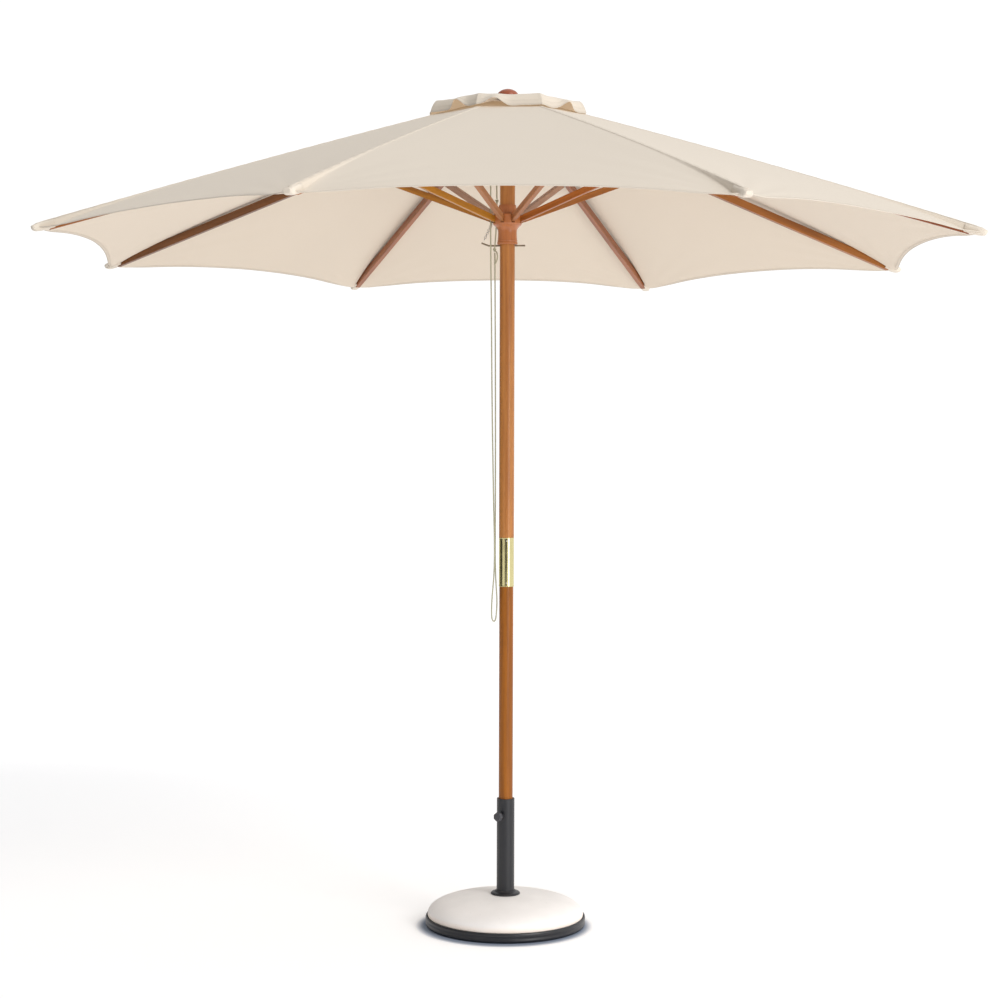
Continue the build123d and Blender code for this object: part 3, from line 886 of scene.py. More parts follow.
def stitch_tree(name: str, spacing: float, length: float, width: float) -> Repeat:
    """Stitches along lines.

    Args:
        name: the tree's name.
        spacing: from stitch to stitch.
        length: length of a stitch.
        width: thickness of the thread.

    Returns:
        The tree.
    """
    tree = Repeat(name, {"Spacing": spacing, "Length": length, "Width": width}, THREAD)
    curve = tree.node("GeometryNodeMeshToCurve", inputs={0: tree.given["Geometry"]}).outputs[0]
    even = tree.node("GeometryNodeResampleCurve", {"mode": "LENGTH"}, {
        "Curve": curve, "Length": tree.given["Spacing"]}).outputs[0]
    tangent = tree.node("GeometryNodeInputTangent").outputs[0]
    turned = tree.node("FunctionNodeAlignRotationToVector", {"axis": "X"}, {"Vector": tangent}).outputs[0]
    bead = tree.node("GeometryNodeMeshIcoSphere", inputs={"Radius": 0.5, "Subdivisions": 1}).outputs[0]
    scale = tree.vector(tree.given["Length"], tree.given["Width"], tree.given["Width"])
    tree.end(tree.node("GeometryNodeInstanceOnPoints", inputs={
        "Points": even, "Instance": bead, "Rotation": turned, "Scale": scale}).outputs[0])
    return tree


def rivet_tree(name: str, radius: float, height: float, finish: Finish) -> Repeat:
    """Domed screw or rivet heads that face away from their seat.

    Args:
        name: the tree's name.
        radius: radius of a head.
        height: how far it stands proud.
        finish: its finish.

    Returns:
        The tree.
    """
    tree = Repeat(name, {"Radius": radius, "Height": height}, finish)
    facing = tree.node("GeometryNodeInputNamedAttribute", {"data_type": "FLOAT_VECTOR"}, {
        "Name": "facing"}).outputs[0]
    turned = tree.node("FunctionNodeAlignRotationToVector", {"axis": "Z"}, {"Vector": facing}).outputs[0]
    head = tree.node("GeometryNodeMeshUVSphere", inputs={
        "Segments": 20, "Rings": 10, "Radius": 1.0}).outputs[0]
    scale = tree.vector(tree.given["Radius"], tree.given["Radius"], tree.given["Height"])
    tree.end(tree.node("GeometryNodeInstanceOnPoints", inputs={
        "Points": tree.given["Geometry"], "Instance": head, "Rotation": turned, "Scale": scale}).outputs[0])
    return tree


def chain_tree(name: str, ring: float, wire: float, finish: Finish) -> Repeat:
    """Round links, each turned a quarter from the last, along the line through its points.

    Args:
        name: the tree's name.
        ring: radius of a link's middle line.
        wire: radius of its wire.
        finish: its finish.

    Returns:
        The tree.
    """
    tree = Repeat(name, {"Ring": ring, "Wire": wire}, finish)
    hoop = tree.node("GeometryNodeCurvePrimitiveCircle", inputs={
        "Resolution": 20, "Radius": tree.given["Ring"]}).outputs[0]
    section = tree.node("GeometryNodeCurvePrimitiveCircle", inputs={
        "Resolution": 8, "Radius": tree.given["Wire"]}).outputs[0]
    link = tree.node("GeometryNodeCurveToMesh", inputs={"Curve": hoop, "Profile Curve": section}).outputs[0]
    number = tree.node("GeometryNodeInputIndex").outputs[0]
    odd = tree.math("MODULO", number, 2.0)
    facing = tree.node("GeometryNodeInputNamedAttribute", {"data_type": "FLOAT_VECTOR"}, {
        "Name": "facing"}).outputs[0]
    along = tree.node("FunctionNodeAlignRotationToVector", {"axis": "Z"}, {"Vector": facing}).outputs[0]
    spun = tree.node("FunctionNodeEulerToRotation", inputs={
        0: tree.vector(math.pi / 2, 0.0, tree.math("MULTIPLY", odd, math.pi / 2))}).outputs[0]
    turned = tree.node("FunctionNodeRotateRotation", {"rotation_space": "LOCAL"}, {
        "Rotation": along, "Rotate By": spun}).outputs[0]
    tree.end(tree.node("GeometryNodeInstanceOnPoints", inputs={
        "Points": tree.given["Geometry"], "Instance": link, "Rotation": turned}).outputs[0])
    return tree


def row_lines(count: int) -> List[Tuple[int, int]]:
    """Lines that join a row of points."""
    return [(i, i + 1) for i in range(count - 1)]


# ---- rib axes ---------------------------------------------------------------------------
@dataclass(frozen=True)
class RibAxes:
    """The axes of one rib: outwards, sideways to one side, along it and square to it."""

    number: int
    side: int = 1
    pivot_r: float = 0.040
    pivot_z: float = 2.621

    @property
    def azimuth(self) -> float:
        """The rib's azimuth."""
        return azimuth_of(self.number)

    @property
    def outwards(self) -> np.ndarray:
        """Level direction away from the pole."""
        return np.array((math.cos(self.azimuth), math.sin(self.azimuth), 0))

    @property
    def sideways(self) -> np.ndarray:
        """Level direction to this side of the rib."""
        return self.side * np.array((-math.sin(self.azimuth), math.cos(self.azimuth), 0))

    @property
    def square(self) -> np.ndarray:
        """Direction square to the rib, out of its top face."""
        return self.outwards * math.sin(RIB_SLOPE) + np.array((0, 0, math.cos(RIB_SLOPE)))

    @property
    def along(self) -> np.ndarray:
        """Direction down the rib."""
        return self.outwards * math.cos(RIB_SLOPE) - np.array((0, 0, math.sin(RIB_SLOPE)))

    @property
    def pivot(self) -> np.ndarray:
        """The rib's pivot on the top hub's wire."""
        return self.outwards * self.pivot_r + np.array((0, 0, self.pivot_z))

    def panel(self, radius: np.ndarray, t: np.ndarray) -> Tuple[np.ndarray, ...]:
        """Lays out the grid of half a panel.

        Args:
            radius: distance from the pole, measured along the ridge.
            t: 0 on the ridge and 1 on the panel's middle line.

        Returns:
            Level points, distance to the ridge and place on the flat cloth.
        """
        mid = self.azimuth + self.side * HALF_STEP
        level = (radius * math.cos(HALF_STEP))[..., None]
        ridge = self.outwards[None, None] * radius[..., None]
        middle = np.array((math.cos(mid), math.sin(mid), 0)) * level
        off_ridge = t * radius * math.sin(HALF_STEP) * math.cos(HALF_STEP)
        spots = np.stack([(1 - t) * radius * math.sin(HALF_STEP) * self.side,
                          radius * math.cos(HALF_STEP)], -1)
        return ridge + (middle - ridge) * t[..., None], off_ridge, spots

    def crumple(self, piece: bpy.types.Object, keep: float, tilt: float = 0.29) -> None:
        """Puts a piece of cloth on the rib's body, with a mesh of its own.

        Args:
            piece: the cloth.
            keep: share of its width that is left; not used.
            tilt: lean of the gathering direction, which carries the cloth outside the rib, in radians; not
                used.
        """
        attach(piece, f"rib_{self.number}")
        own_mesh(piece)


# ---- cloth ------------------------------------------------------------------------------
@dataclass
class Canopy:
    """Main canopy: eight panels, each made as two halves that meet on the panel's middle line."""

    apex_z: float = 2.64901
    fall: float = math.tan(RIB_SLOPE)
    vent_r: float = 0.130
    corner_r: float = 1.490
    scallop: float = 0.056
    sag: float = 0.0060
    thickness: float = 0.0010
    hem_width: float = 0.012
    hem_extra: float = 0.0008
    columns: int = 32
    hood: float = 0.0250
    keep: float = 0.10
    bow_from: float = 0.62
    bow_rise: float = 0.0125
    bow_lean: float = 0.0035
    rib_half: float = 0.0088
    hood_along: float = 0.15
    hood_across: float = 0.12
    hood_at_hem: float = 0.35
    thread_inset: float = 0.0095
    thread_lift: float = 0.0002

    def bow(self, radius: np.ndarray, azimuth: np.ndarray) -> np.ndarray:
        """Rise of the taut cloth above a straight line from hub to corner.

        Args:
            radius: distance from the pole.
            azimuth: direction from the pole.

        Returns:
            The rise in metres.
        """
        height = self.bow_rise + self.bow_lean * np.cos(azimuth + HALF_STEP)
        along = (radius - self.bow_from) / (self.corner_r - self.bow_from)
        return height * np.clip(1 - along ** 2, 0, 1)

    def half(self, axes: RibAxes) -> Tuple[np.ndarray, ...]:
        """Points of one half panel.

        Args:
            axes: its rib and side.

        Returns:
            Outside, underside, place on the flat cloth and distances to its edges, as grids.
        """
        t = np.concatenate([[0, 0.0065, 0.0130, 0.0170, 0.0205, 0.0250, 0.0330],
                            np.linspace(0.048, 1, self.columns - 7) ** 1.15])
        hem = self.corner_r - self.scallop / math.cos(HALF_STEP) * (1 - (1 - t) ** 2)
        near = np.array([0.048, 0.034, 0.022, 0.0132, 0.0116, 0.0065, 0.0018, 0.0])
        q = np.linspace(0, 1, 104)
        inner = self.vent_r + (hem[None, :] - near[0] - self.vent_r) * q[:, None]
        radius = np.vstack([inner[:-1], hem[None, :] - near[:, None]])
        share = np.clip((radius - self.vent_r) / (hem[None, :] - self.vent_r), 0, 1)
        t = np.broadcast_to(t, radius.shape)
        flat, off_ridge, spots = axes.panel(radius, t)
        to_hem = (hem[None, :] - radius) * math.cos(HALF_STEP * 0.7)
        slack, taut = 1 - (1 - t) ** 2, 1 - np.exp(-t / 0.075)
        near_hem = smooth((share - 0.72) / 0.28)
        dip = self.sag * share ** 0.9 * (slack * (1 - near_hem) + taut * near_hem)
        tip = np.hypot(self.corner_r - radius, off_ridge)
        lean = np.arctan2(off_ridge, np.maximum(self.corner_r - radius, 1e-4))
        inward = self.corner_r - radius
        beside = smooth((off_ridge - self.rib_half) / 0.0040)
        hood = self.hood * beside * np.exp(-np.maximum(inward, 0) / self.hood_along)
        hood *= np.exp(-np.maximum(off_ridge - 0.013, 0) / self.hood_across)
        hood *= self.hood_at_hem + (1 - self.hood_at_hem) * smooth(inward / 0.03)
        fan = 0.0016 * smooth(tip / 0.12) * np.exp(-tip / 0.30) * np.cos(17 * lean + 0.8 * axes.number)
        fan *= smooth((1 - t) / 0.25) * smooth(t / 0.08)
        pucker = 0.0005 * np.cos(radius * 2 * math.pi / PUCKER) * np.exp(-off_ridge / 0.03) * smooth(t / 0.05)
        x, y = flat[..., 0], flat[..., 1]
        bow = self.bow(radius, np.arctan2(y, x))
        drift = 0.0014 * np.sin(5.3 * x + 1.9 * y + 0.6) * np.sin(4.1 * y - 2.2 * x) * smooth(t / 0.4)
        z = self.apex_z - self.fall * radius + bow - dip - hood + fan + pucker + drift * smooth(share / 0.3)
        under = flat.copy()
        under[..., 2] = z - self.hem_extra * smooth((self.hem_width + 0.0008 - to_hem) / 0.0016)
        top = flat.copy()
        top[..., 2] = z + self.thickness
        return top, under, spots, np.stack([off_ridge, to_hem], -1)

    def row_at(self, grid: np.ndarray, edges: np.ndarray, inset: float, lift: float) -> np.ndarray:
        """A line on the cloth at a distance from the hem.

        Args:
            grid: outside or underside points.
            edges: distances to the cloth's edges.
            inset: distance from the hem.
            lift: height above that face, negative for the underside.

        Returns:
            One point for each column.
        """
        line = []
        for j in range(grid.shape[1]):
            order = edges[::-1, j, 1]
            line.append([np.interp(inset, order, grid[::-1, j, i]) for i in range(3)])
        line = np.array(line)
        line[:, 2] += lift
        return line

    def seam(self, axes: RibAxes) -> bpy.types.Object:
        """Flat-felled seam over one ridge.

        Args:
            axes: the rib under it.

        Returns:
            The seam's strip.
        """
        steps = np.linspace(self.vent_r + 0.002, self.corner_r - 0.004, 150)
        widths = np.array([-0.0075, -0.0069, -0.0035, 0.0, 0.0035, 0.0069, 0.0075])
        rises = np.array([0.0, 0.0008, 0.0010, 0.0011, 0.0010, 0.0008, 0.0])
        drop = self.fall / math.cos(HALF_STEP) * math.sin(HALF_STEP)
        pucker = 0.00045 * np.cos(steps * 2 * math.pi / PUCKER)
        base = (axes.outwards[None, None] * steps[:, None, None]
                + axes.sideways[None, None] * widths[None, :, None])
        rise = self.bow(steps, np.full(steps.shape, axes.azimuth))
        slope = (rise - self.fall * steps)[:, None]
        z = self.apex_z + self.thickness + slope - drop * np.abs(widths)[None, :]
        bottom, top = base.copy(), base.copy()
        bottom[..., 2] = z - 0.0004
        top[..., 2] = z + rises[None, :] + 0.00005 + pucker[:, None] * (rises[None, :] > 0)
        spots = np.stack(np.broadcast_arrays(widths[None, :], steps[:, None]), -1)
        far = np.full(spots.shape, 0.5)
        return cloth(f"ridge_seam_{axes.number}", top, bottom, spots, far, [CANVAS_TOP, CANVAS_UNDER])

    def make(self) -> None:
        """Builds the panels, their seams and their stitches."""
        hem_thread = stitch_tree("hem_stitches", *STITCH)
        seam_thread = stitch_tree("seam_stitches", *STITCH)
        for number in range(1, RIBS + 1):
            for half in Half:
                axes, word = RibAxes(number, half.value), half.name.lower()
                top, under, spots, edges = self.half(axes)
                piece = cloth(f"canopy_panel_{number}_{word}", top, under, spots, edges,
                              [CANVAS_TOP, CANVAS_UNDER])
                lines = [self.row_at(grid, edges, self.thread_inset, lift)
                         for grid, lift in ((top, self.thread_lift), (under, -self.thread_lift))]
                points = np.vstack([line[1:] for line in lines])
                count = len(lines[0]) - 1
                joined = row_lines(count) + [(a + count, b + count) for a, b in row_lines(count)]
                thread = hem_thread.grow(f"hem_stitches_{number}_{word}", points, joined)
                axes.crumple(piece, self.keep)
                axes.crumple(thread, self.keep)
                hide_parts("canopy")
            axes = RibAxes(number)
            strip = self.seam(axes)
            rows = np.linspace(self.vent_r + 0.01, self.corner_r - 0.02, 40)
            points, joined = [], []
            for offset in (-0.0052, 0.0052):
                joined += [(a + len(points), b + len(points)) for a, b in row_lines(len(rows))]
                for r in rows:
                    spot = axes.outwards * r + axes.sideways * offset
                    lift = self.thickness + 0.0004 + float(self.bow(np.array(r), np.array(axes.azimuth)))
                    points.append((*spot[:2], self.apex_z - self.fall * r + lift))
            thread = seam_thread.grow(f"ridge_stitches_{number}", np.array(points), joined)
            for piece in (strip, thread):
                settle(piece, f"rib_{number}")
        log.info("canopy: sixteen half panels, eight ridge seams, stitched hems")


@dataclass
class CornerPockets:
    """Sewn pockets that the ribs' pegs sit in, under the canopy's corners."""

    mouth: float = 1.4640
    end: float = 1.5295
    half_width: float = 0.0150
    top: float = 0.0150
    roundness: float = 0.62

    def boxed(self, wave: np.ndarray) -> np.ndarray:
        """A sine or cosine with fuller shoulders, for a rounded box instead of an oval."""
        return np.sign(wave) * np.abs(wave) ** self.roundness

    def one(self, number: int) -> bpy.types.Object:
        """Builds the pocket of one rib.

        Args:
            number: the rib's number.

        Returns:
            The pocket, crowned and closed at its end.
        """
        axes = RibAxes(number)
        stations = [(0.0, 0.93, -0.0095), (0.04, 1.0, -0.0108), (0.22, 1.0, -0.0108),
                    (0.45, 0.99, -0.0100), (0.68, 0.97, -0.0088), (0.86, 0.93, -0.0066),
                    (0.95, 0.84, -0.0036), (1.0, 0.62, 0.0015)]
        segments = 28
        angles = np.arange(segments) * 2 * math.pi / segments
        rings = []
        for share, width, low in stations:
            reach = self.mouth + (self.end - self.mouth) * share
            high = self.top - 0.003 * max(0.0, share - 0.8) * 5
            half = self.half_width * width * (1 + 0.02 * math.sin(9 * share + number))
            across = half * self.boxed(np.cos(angles))
            rise = (high + low) / 2 + (high - low) / 2 * self.boxed(np.sin(angles))
            rings.append(axes.pivot + axes.along * reach + axes.sideways * across[:, None]
                         + axes.square * rise[:, None])
        points = np.concatenate(rings)
        index = np.arange(len(points)).reshape(len(stations), segments)
        faces = grid_faces(np.column_stack([index, index[:, 0]])).tolist()
        faces += [tuple(index[0, ::-1]), tuple(index[-1])]
        made = build(f"corner_pocket_{number}", points, faces, [CANVAS_TOP], 50.0)
        map_cloth(made, np.stack([np.tile(angles * 0.012, len(stations)),
                                  np.repeat([s[0] * 0.05 for s in stations], segments)], -1))
        from_mouth = np.repeat([0.002 + s[0] * 0.05 for s in stations], segments)
        map_edges(made, np.column_stack([np.full(len(points), 0.5), from_mouth]))
        return made

    def make(self) -> None:
        """Builds all eight pockets."""
        for number in range(1, RIBS + 1):
            piece = self.one(number)
            settle(piece, f"rib_{number}", "tip_pockets")
        log.info("corner pockets: eight")


@dataclass
class VentCap:
    """Loose cap over the canopy's vent hole, its hem drooping in soft folds."""

    apex_z: float = 2.64905
    inner_r: float = 0.036
    hem_r: float = 0.281
    fall: float = 0.115
    thickness: float = 0.0009
    droop: float = 0.034
    scallop: float = 0.006
    hang_from: float = 0.84
    hang_over: float = 0.16
    tuck: float = 0.016
    flare: float = 0.002
    columns: int = 22
    rows: int = 40
    keep: float = 0.16
    # azimuth in degrees, half width in degrees and share of the droop that each fold lifts
    folds: Tuple[Tuple[float, float, float], ...] = (
        (229, 6, 0.9), (259, 7, 0.75), (318, 6, 0.9), (15, 9, 0.8), (62, 8, 0.7),
        (98, 9, 1.0), (140, 8, 0.8), (178, 8, 0.6))
    crown_r: float = 0.050
    dowel_r: float = 0.0062

    def lifted(self, azimuth: np.ndarray) -> np.ndarray:
        """Share of the droop that the folds take away at each azimuth.

        Args:
            azimuth: in radians.

        Returns:
            0 where the hem hangs, 1 where it stands off.
        """
        total = np.zeros(azimuth.shape)
        for centre, width, share in self.folds:
            turn = np.degrees(azimuth) - centre
            turn = (turn + 180) % 360 - 180
            total += share * np.exp(-(turn / width) ** 2)
        return np.clip(total, 0, 1.1)

    def half(self, axes: RibAxes) -> Tuple[np.ndarray, ...]:
        """Points of one half panel, as the main canopy's."""
        t = np.linspace(0, 1, self.columns)
        near = np.array([0.0132, 0.0116, 0.0065, 0.0018, 0.0])
        hem = self.hem_r - self.scallop * (1 - (1 - t) ** 2)
        q = np.linspace(0, 1, self.rows)
        inner = self.inner_r + (hem[None, :] - near[0] - self.inner_r) * q[:, None]
        radius = np.vstack([inner[:-1], hem[None, :] - near[:, None]])
        t = np.broadcast_to(t, radius.shape)
        share = (radius - self.inner_r) / (hem[None, :] - self.inner_r)
        flat, off_ridge, spots = axes.panel(radius, t)
        azimuth = np.arctan2(flat[..., 1], flat[..., 0])
        lifted = self.lifted(azimuth)
        rough = (np.sin(7 * azimuth + 0.4) + np.sin(13 * azimuth + 2.1) + 0.7 * np.sin(23 * azimuth)) / 2.7
        hang = np.clip((share - self.hang_from) / self.hang_over, 0, 1) ** 1.5
        drop = hang * self.droop * (1 - 0.8 * lifted) + 0.0030 * rough * share ** 3
        swell = 0.006 * np.sin(np.clip(share, 0, 1) * math.pi) * (1 - (1 - t) ** 2)
        pull = hang * (self.tuck * (1 - lifted) - self.flare * lifted)
        spread = flat * (1 - (pull / np.maximum(radius, 0.01)))[..., None]
        z = self.apex_z - self.fall * radius - drop - swell * 0.5
        to_hem = hem[None, :] - radius
        top, under = spread.copy(), spread.copy()
        top[..., 2] = z + self.thickness
        under[..., 2] = z - 0.0006 * smooth((0.0130 - to_hem) / 0.0016)
        return top, under, spots, np.stack([off_ridge, to_hem], -1)

    def crown(self) -> bpy.types.Object:
        """Round patch of cloth clamped under the turned button."""
        radii = np.linspace(self.dowel_r, self.crown_r, 12)
        top_z = self.apex_z + self.thickness + 0.0009 - self.fall * radii
        outline = [(r, z) for r, z in zip(radii, top_z)]
        outline += [(r, z - 0.0008) for r, z in zip(radii[::-1], top_z[::-1])]
        made = lathe("crown_patch", outline, CANVAS_TOP, 64, closed=True)
        spots = np.array([v.co[:2] for v in made.data.vertices])
        map_cloth(made, spots)
        map_edges(made, np.full((len(spots), 2), 0.5))
        return made

    def make(self) -> None:
        """Builds the cap and its crown patch."""
        thread_tree = stitch_tree("cap_stitches", *STITCH)
        for number in range(1, RIBS + 1):
            for half in Half:
                axes, word = RibAxes(number, half.value), half.name.lower()
                top, under, spots, edges = self.half(axes)
                piece = cloth(f"vent_cap_{number}_{word}", top, under, spots, edges,
                              [CANVAS_TOP, CANVAS_CAP_UNDER])
                line = top[-4].copy()
                line[:, 2] += 0.0002
                thread = thread_tree.grow(f"cap_stitches_{number}_{word}", line, row_lines(len(line)))
                axes.crumple(piece, self.keep)
                axes.crumple(thread, self.keep)
                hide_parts("vent_cap")
        crown = self.crown()
        settle(crown, "upper_pole")
        log.info("vent cap: sixteen half panels and a crown patch")


# ---- base -------------------------------------------------------------------------------
@dataclass
class Base:
    """Concrete-filled base: pan, dome, tube, cover ring and clamp."""

    dome_r: float = 0.2498
    rim_z: float = 0.037
    top_z: float = 0.100
    tube_r: float = 0.0286
    pan_r: float = 0.2565
    pan_h: float = 0.032
    squareness: float = 0.88
    knob_azimuth: float = math.radians(240)
    knob_z: float = 0.355
    knob_span: Tuple[float, float] = (0.0421, 0.0579)
    knob_r: float = 0.0148
    lobes: int = 7
    lobe_depth: float = 0.085

    def dome(self) -> bpy.types.Object:
        """Cast dome, smooth from rim to tube."""
        rise = self.top_z - self.rim_z
        outline = [(self.tube_r, 0.03), (self.dome_r - 0.003, 0.0305), (self.dome_r - 0.0006, 0.0318)]
        for i in range(49):
            angle = math.pi / 2 * i / 48
            outline.append((self.dome_r * math.cos(angle) ** self.squareness,
                            self.rim_z + rise * math.sin(angle) ** self.squareness))
        outline = [p for p in outline if p[0] >= self.tube_r] + [(self.tube_r, self.top_z - 0.0001)]
        return lathe("cast_dome", outline, CONCRETE, 160, closed=True, sharp=50)

    def pan(self) -> bpy.types.Object:
        """Pan with a rolled lip and a soft lower edge."""
        r, h = self.pan_r, self.pan_h
        outline = [(0, 0.0), (r - 0.012, 0.0), (r - 0.006, 0.0006), (r - 0.0025, 0.0028), (r - 0.0006, 0.006),
                   (r - 0.0002, 0.010), (r - 0.0012, 0.0125), (r - 0.0012, 0.0185), (r - 0.0002, 0.021),
                   (r, 0.026), (r - 0.0008, h - 0.0014), (r - 0.0028, h), (r - 0.0048, h - 0.0004),
                   (r - 0.0060, h - 0.003), (r - 0.0066, 0.02), (r - 0.0066, 0.0062), (0, 0.006)]
        return lathe("base_pan", outline, PAINT, 160, sharp=50)

    def knob(self) -> bpy.types.Object:
        """Lobed hand knob with a domed face, turned to its azimuth."""
        near, far = self.knob_span
        length = far - near
        profile = [(0.0, 0.0), (0.0, 0.55), (0.01, 0.74), (0.06, 0.86), (0.14, 0.94), (0.26, 0.99),
                   (0.5, 1.0), (0.72, 0.985), (0.86, 0.93), (0.94, 0.82), (0.985, 0.6), (1.0, 0.3),
                   (1.0, 0.0)]
        segments = 98
        angles = np.arange(segments) * 2 * math.pi / segments
        rings = []
        for share, wide in profile[1:-1]:
            lobe = 1 - self.lobe_depth * (0.5 - 0.5 * np.cos(self.lobes * angles)) * min(1.0, wide * 1.2)
            radius = self.knob_r * wide * lobe
            rings.append(np.stack([np.full(segments, near + length * share), radius * np.cos(angles),
                                   radius * np.sin(angles)], -1))
        points = np.concatenate(rings)
        index = np.arange(len(points)).reshape(len(rings), segments)
        wide = np.column_stack([index, index[:, 0]])
        points, faces = capped(points, wide, ((near, 0, 0), (far, 0, 0)))
        spin = np.array(Matrix.Rotation(self.knob_azimuth, 3, "Z"))
        points = points @ spin.T + (0, 0, self.knob_z)
        return build("lobed_knob", points, faces, [PLASTIC], 50)

    def make(self) -> None:
        """Builds the base and dresses its CAD parts."""
        for piece, body, node, slot in ((self.dome(), "base", "concrete_base", "concrete"),
                                        (self.pan(), "base", "base_tray", "black_paint"),
                                        (self.knob(), "clamp_knob", "clamp_knob", "black_plastic")):
            settle(piece, body, node)
        dress(["base_collar", "base_tube", "clamp_boss"], PAINT)
        dress(["reducer_sleeve"], PLASTIC)
        dress(["tube_anchor", "clamp_pad", "clamp_screw"], STEEL)


# ---- pole, hub, runner --------------------------------------------------------------------
@dataclass
class Pole:
    """Two-part pole with its brass sleeve, top hub, turned button and pulley."""

    sleeve_z: Tuple[float, float] = (1.089, 1.246)
    sleeve_r: float = 0.0243
    bore_r: float = 0.0227
    screw_rows: Tuple[float, float] = (1.101, 1.236)
    button_z: float = 2.6474

    def sleeve(self) -> bpy.types.Object:
        """Brass sleeve with beaded ends."""
        low, high = self.sleeve_z
        r = self.sleeve_r
        bead = [(r - 0.0004, 0.0), (r + 0.0003, 0.0006), (r + 0.0004, 0.0018), (r, 0.0028), (r, 0.0034)]
        outline = [(self.bore_r, low), *((x, low + up) for x, up in bead),
                   *((x, high - up) for x, up in reversed(bead)), (self.bore_r, high)]
        return lathe("brass_sleeve", outline, BRASS, 96, closed=True, sharp=50)

    def screws(self) -> bpy.types.Object:
        """Domed screw heads, front and back, in two rows."""
        tree = rivet_tree("sleeve_screws", 0.0026, 0.0011, STEEL)
        points = np.array([(0, side * self.sleeve_r, z) for z in self.screw_rows for side in (-1, 1)])
        facing = np.array([(0, side, 0) for _ in self.screw_rows for side in (-1, 1)], float)
        return tree.grow("sleeve_screw_heads", points, [], facing)

    def button(self) -> bpy.types.Object:
        """Turned wooden button on top, with a bead round its brim."""
        z = self.button_z
        outline = [(0.0062, z + 0.0066), (0.010, z + 0.0062), (0.0335, z + 0.0002), (0.0345, z),
                   (0.0356, z + 0.0006), (0.036, z + 0.0022), (0.0356, z + 0.0042), (0.0345, z + 0.0060),
                   (0.0343, z + 0.0085), (0.0335, z + 0.0120), (0.0315, z + 0.0160), (0.0285, z + 0.0195),
                   (0.0240, z + 0.0230), (0.0180, z + 0.0260), (0.0110, z + 0.0282), (0.0062, z + 0.0291)]
        outline = [(0, z + 0.0175), (0.0061, z + 0.0175)] + outline + [(0.003, z + 0.0297), (0, z + 0.0299)]
        return lathe("turned_button", outline, FINIAL_WOOD, 96, sharp=55)

    def make(self) -> None:
        """Builds the sleeve and button and dresses the CAD parts."""
        for piece, body, node, slot in ((self.sleeve(), "lower_pole", "pole_ferrule", "brass"),
                                        (self.screws(), "lower_pole", "ferrule_screws", "screw_steel"),
                                        (self.button(), "upper_pole", "finial", "terracotta_wood")):
            settle(piece, body, node)
        dress(["upper_pole"], UPPER_WOOD)
        dress(["lower_pole"], LOWER_WOOD)
        dress(["top_hub"], HUB_WOOD)
        dress(["finial_dowel"], DOWEL_WOOD)
        dress(["runner"], RUNNER_WOOD)
        dress(["top_hub_wire", "runner_wire", "pulley_axle"], STEEL)
        dress(["locking_pin", "chain_peg"], PIN_STEEL)
        dress(["pulley_block"], IRON)
        dress(["pulley_wheel"], PALE_PLASTIC)


@dataclass
class Frame:
    """Ribs, struts and their riveted brackets."""

    def make(self) -> None:
        """Dresses each lath in its own wood."""
        for number in range(1, RIBS + 1):
            dress([f"rib_{number}"], rib_wood(number))
            dress([f"strut_{number}"], strut_wood(number))
            dress([f"rib_bracket_{number}"], STEEL)


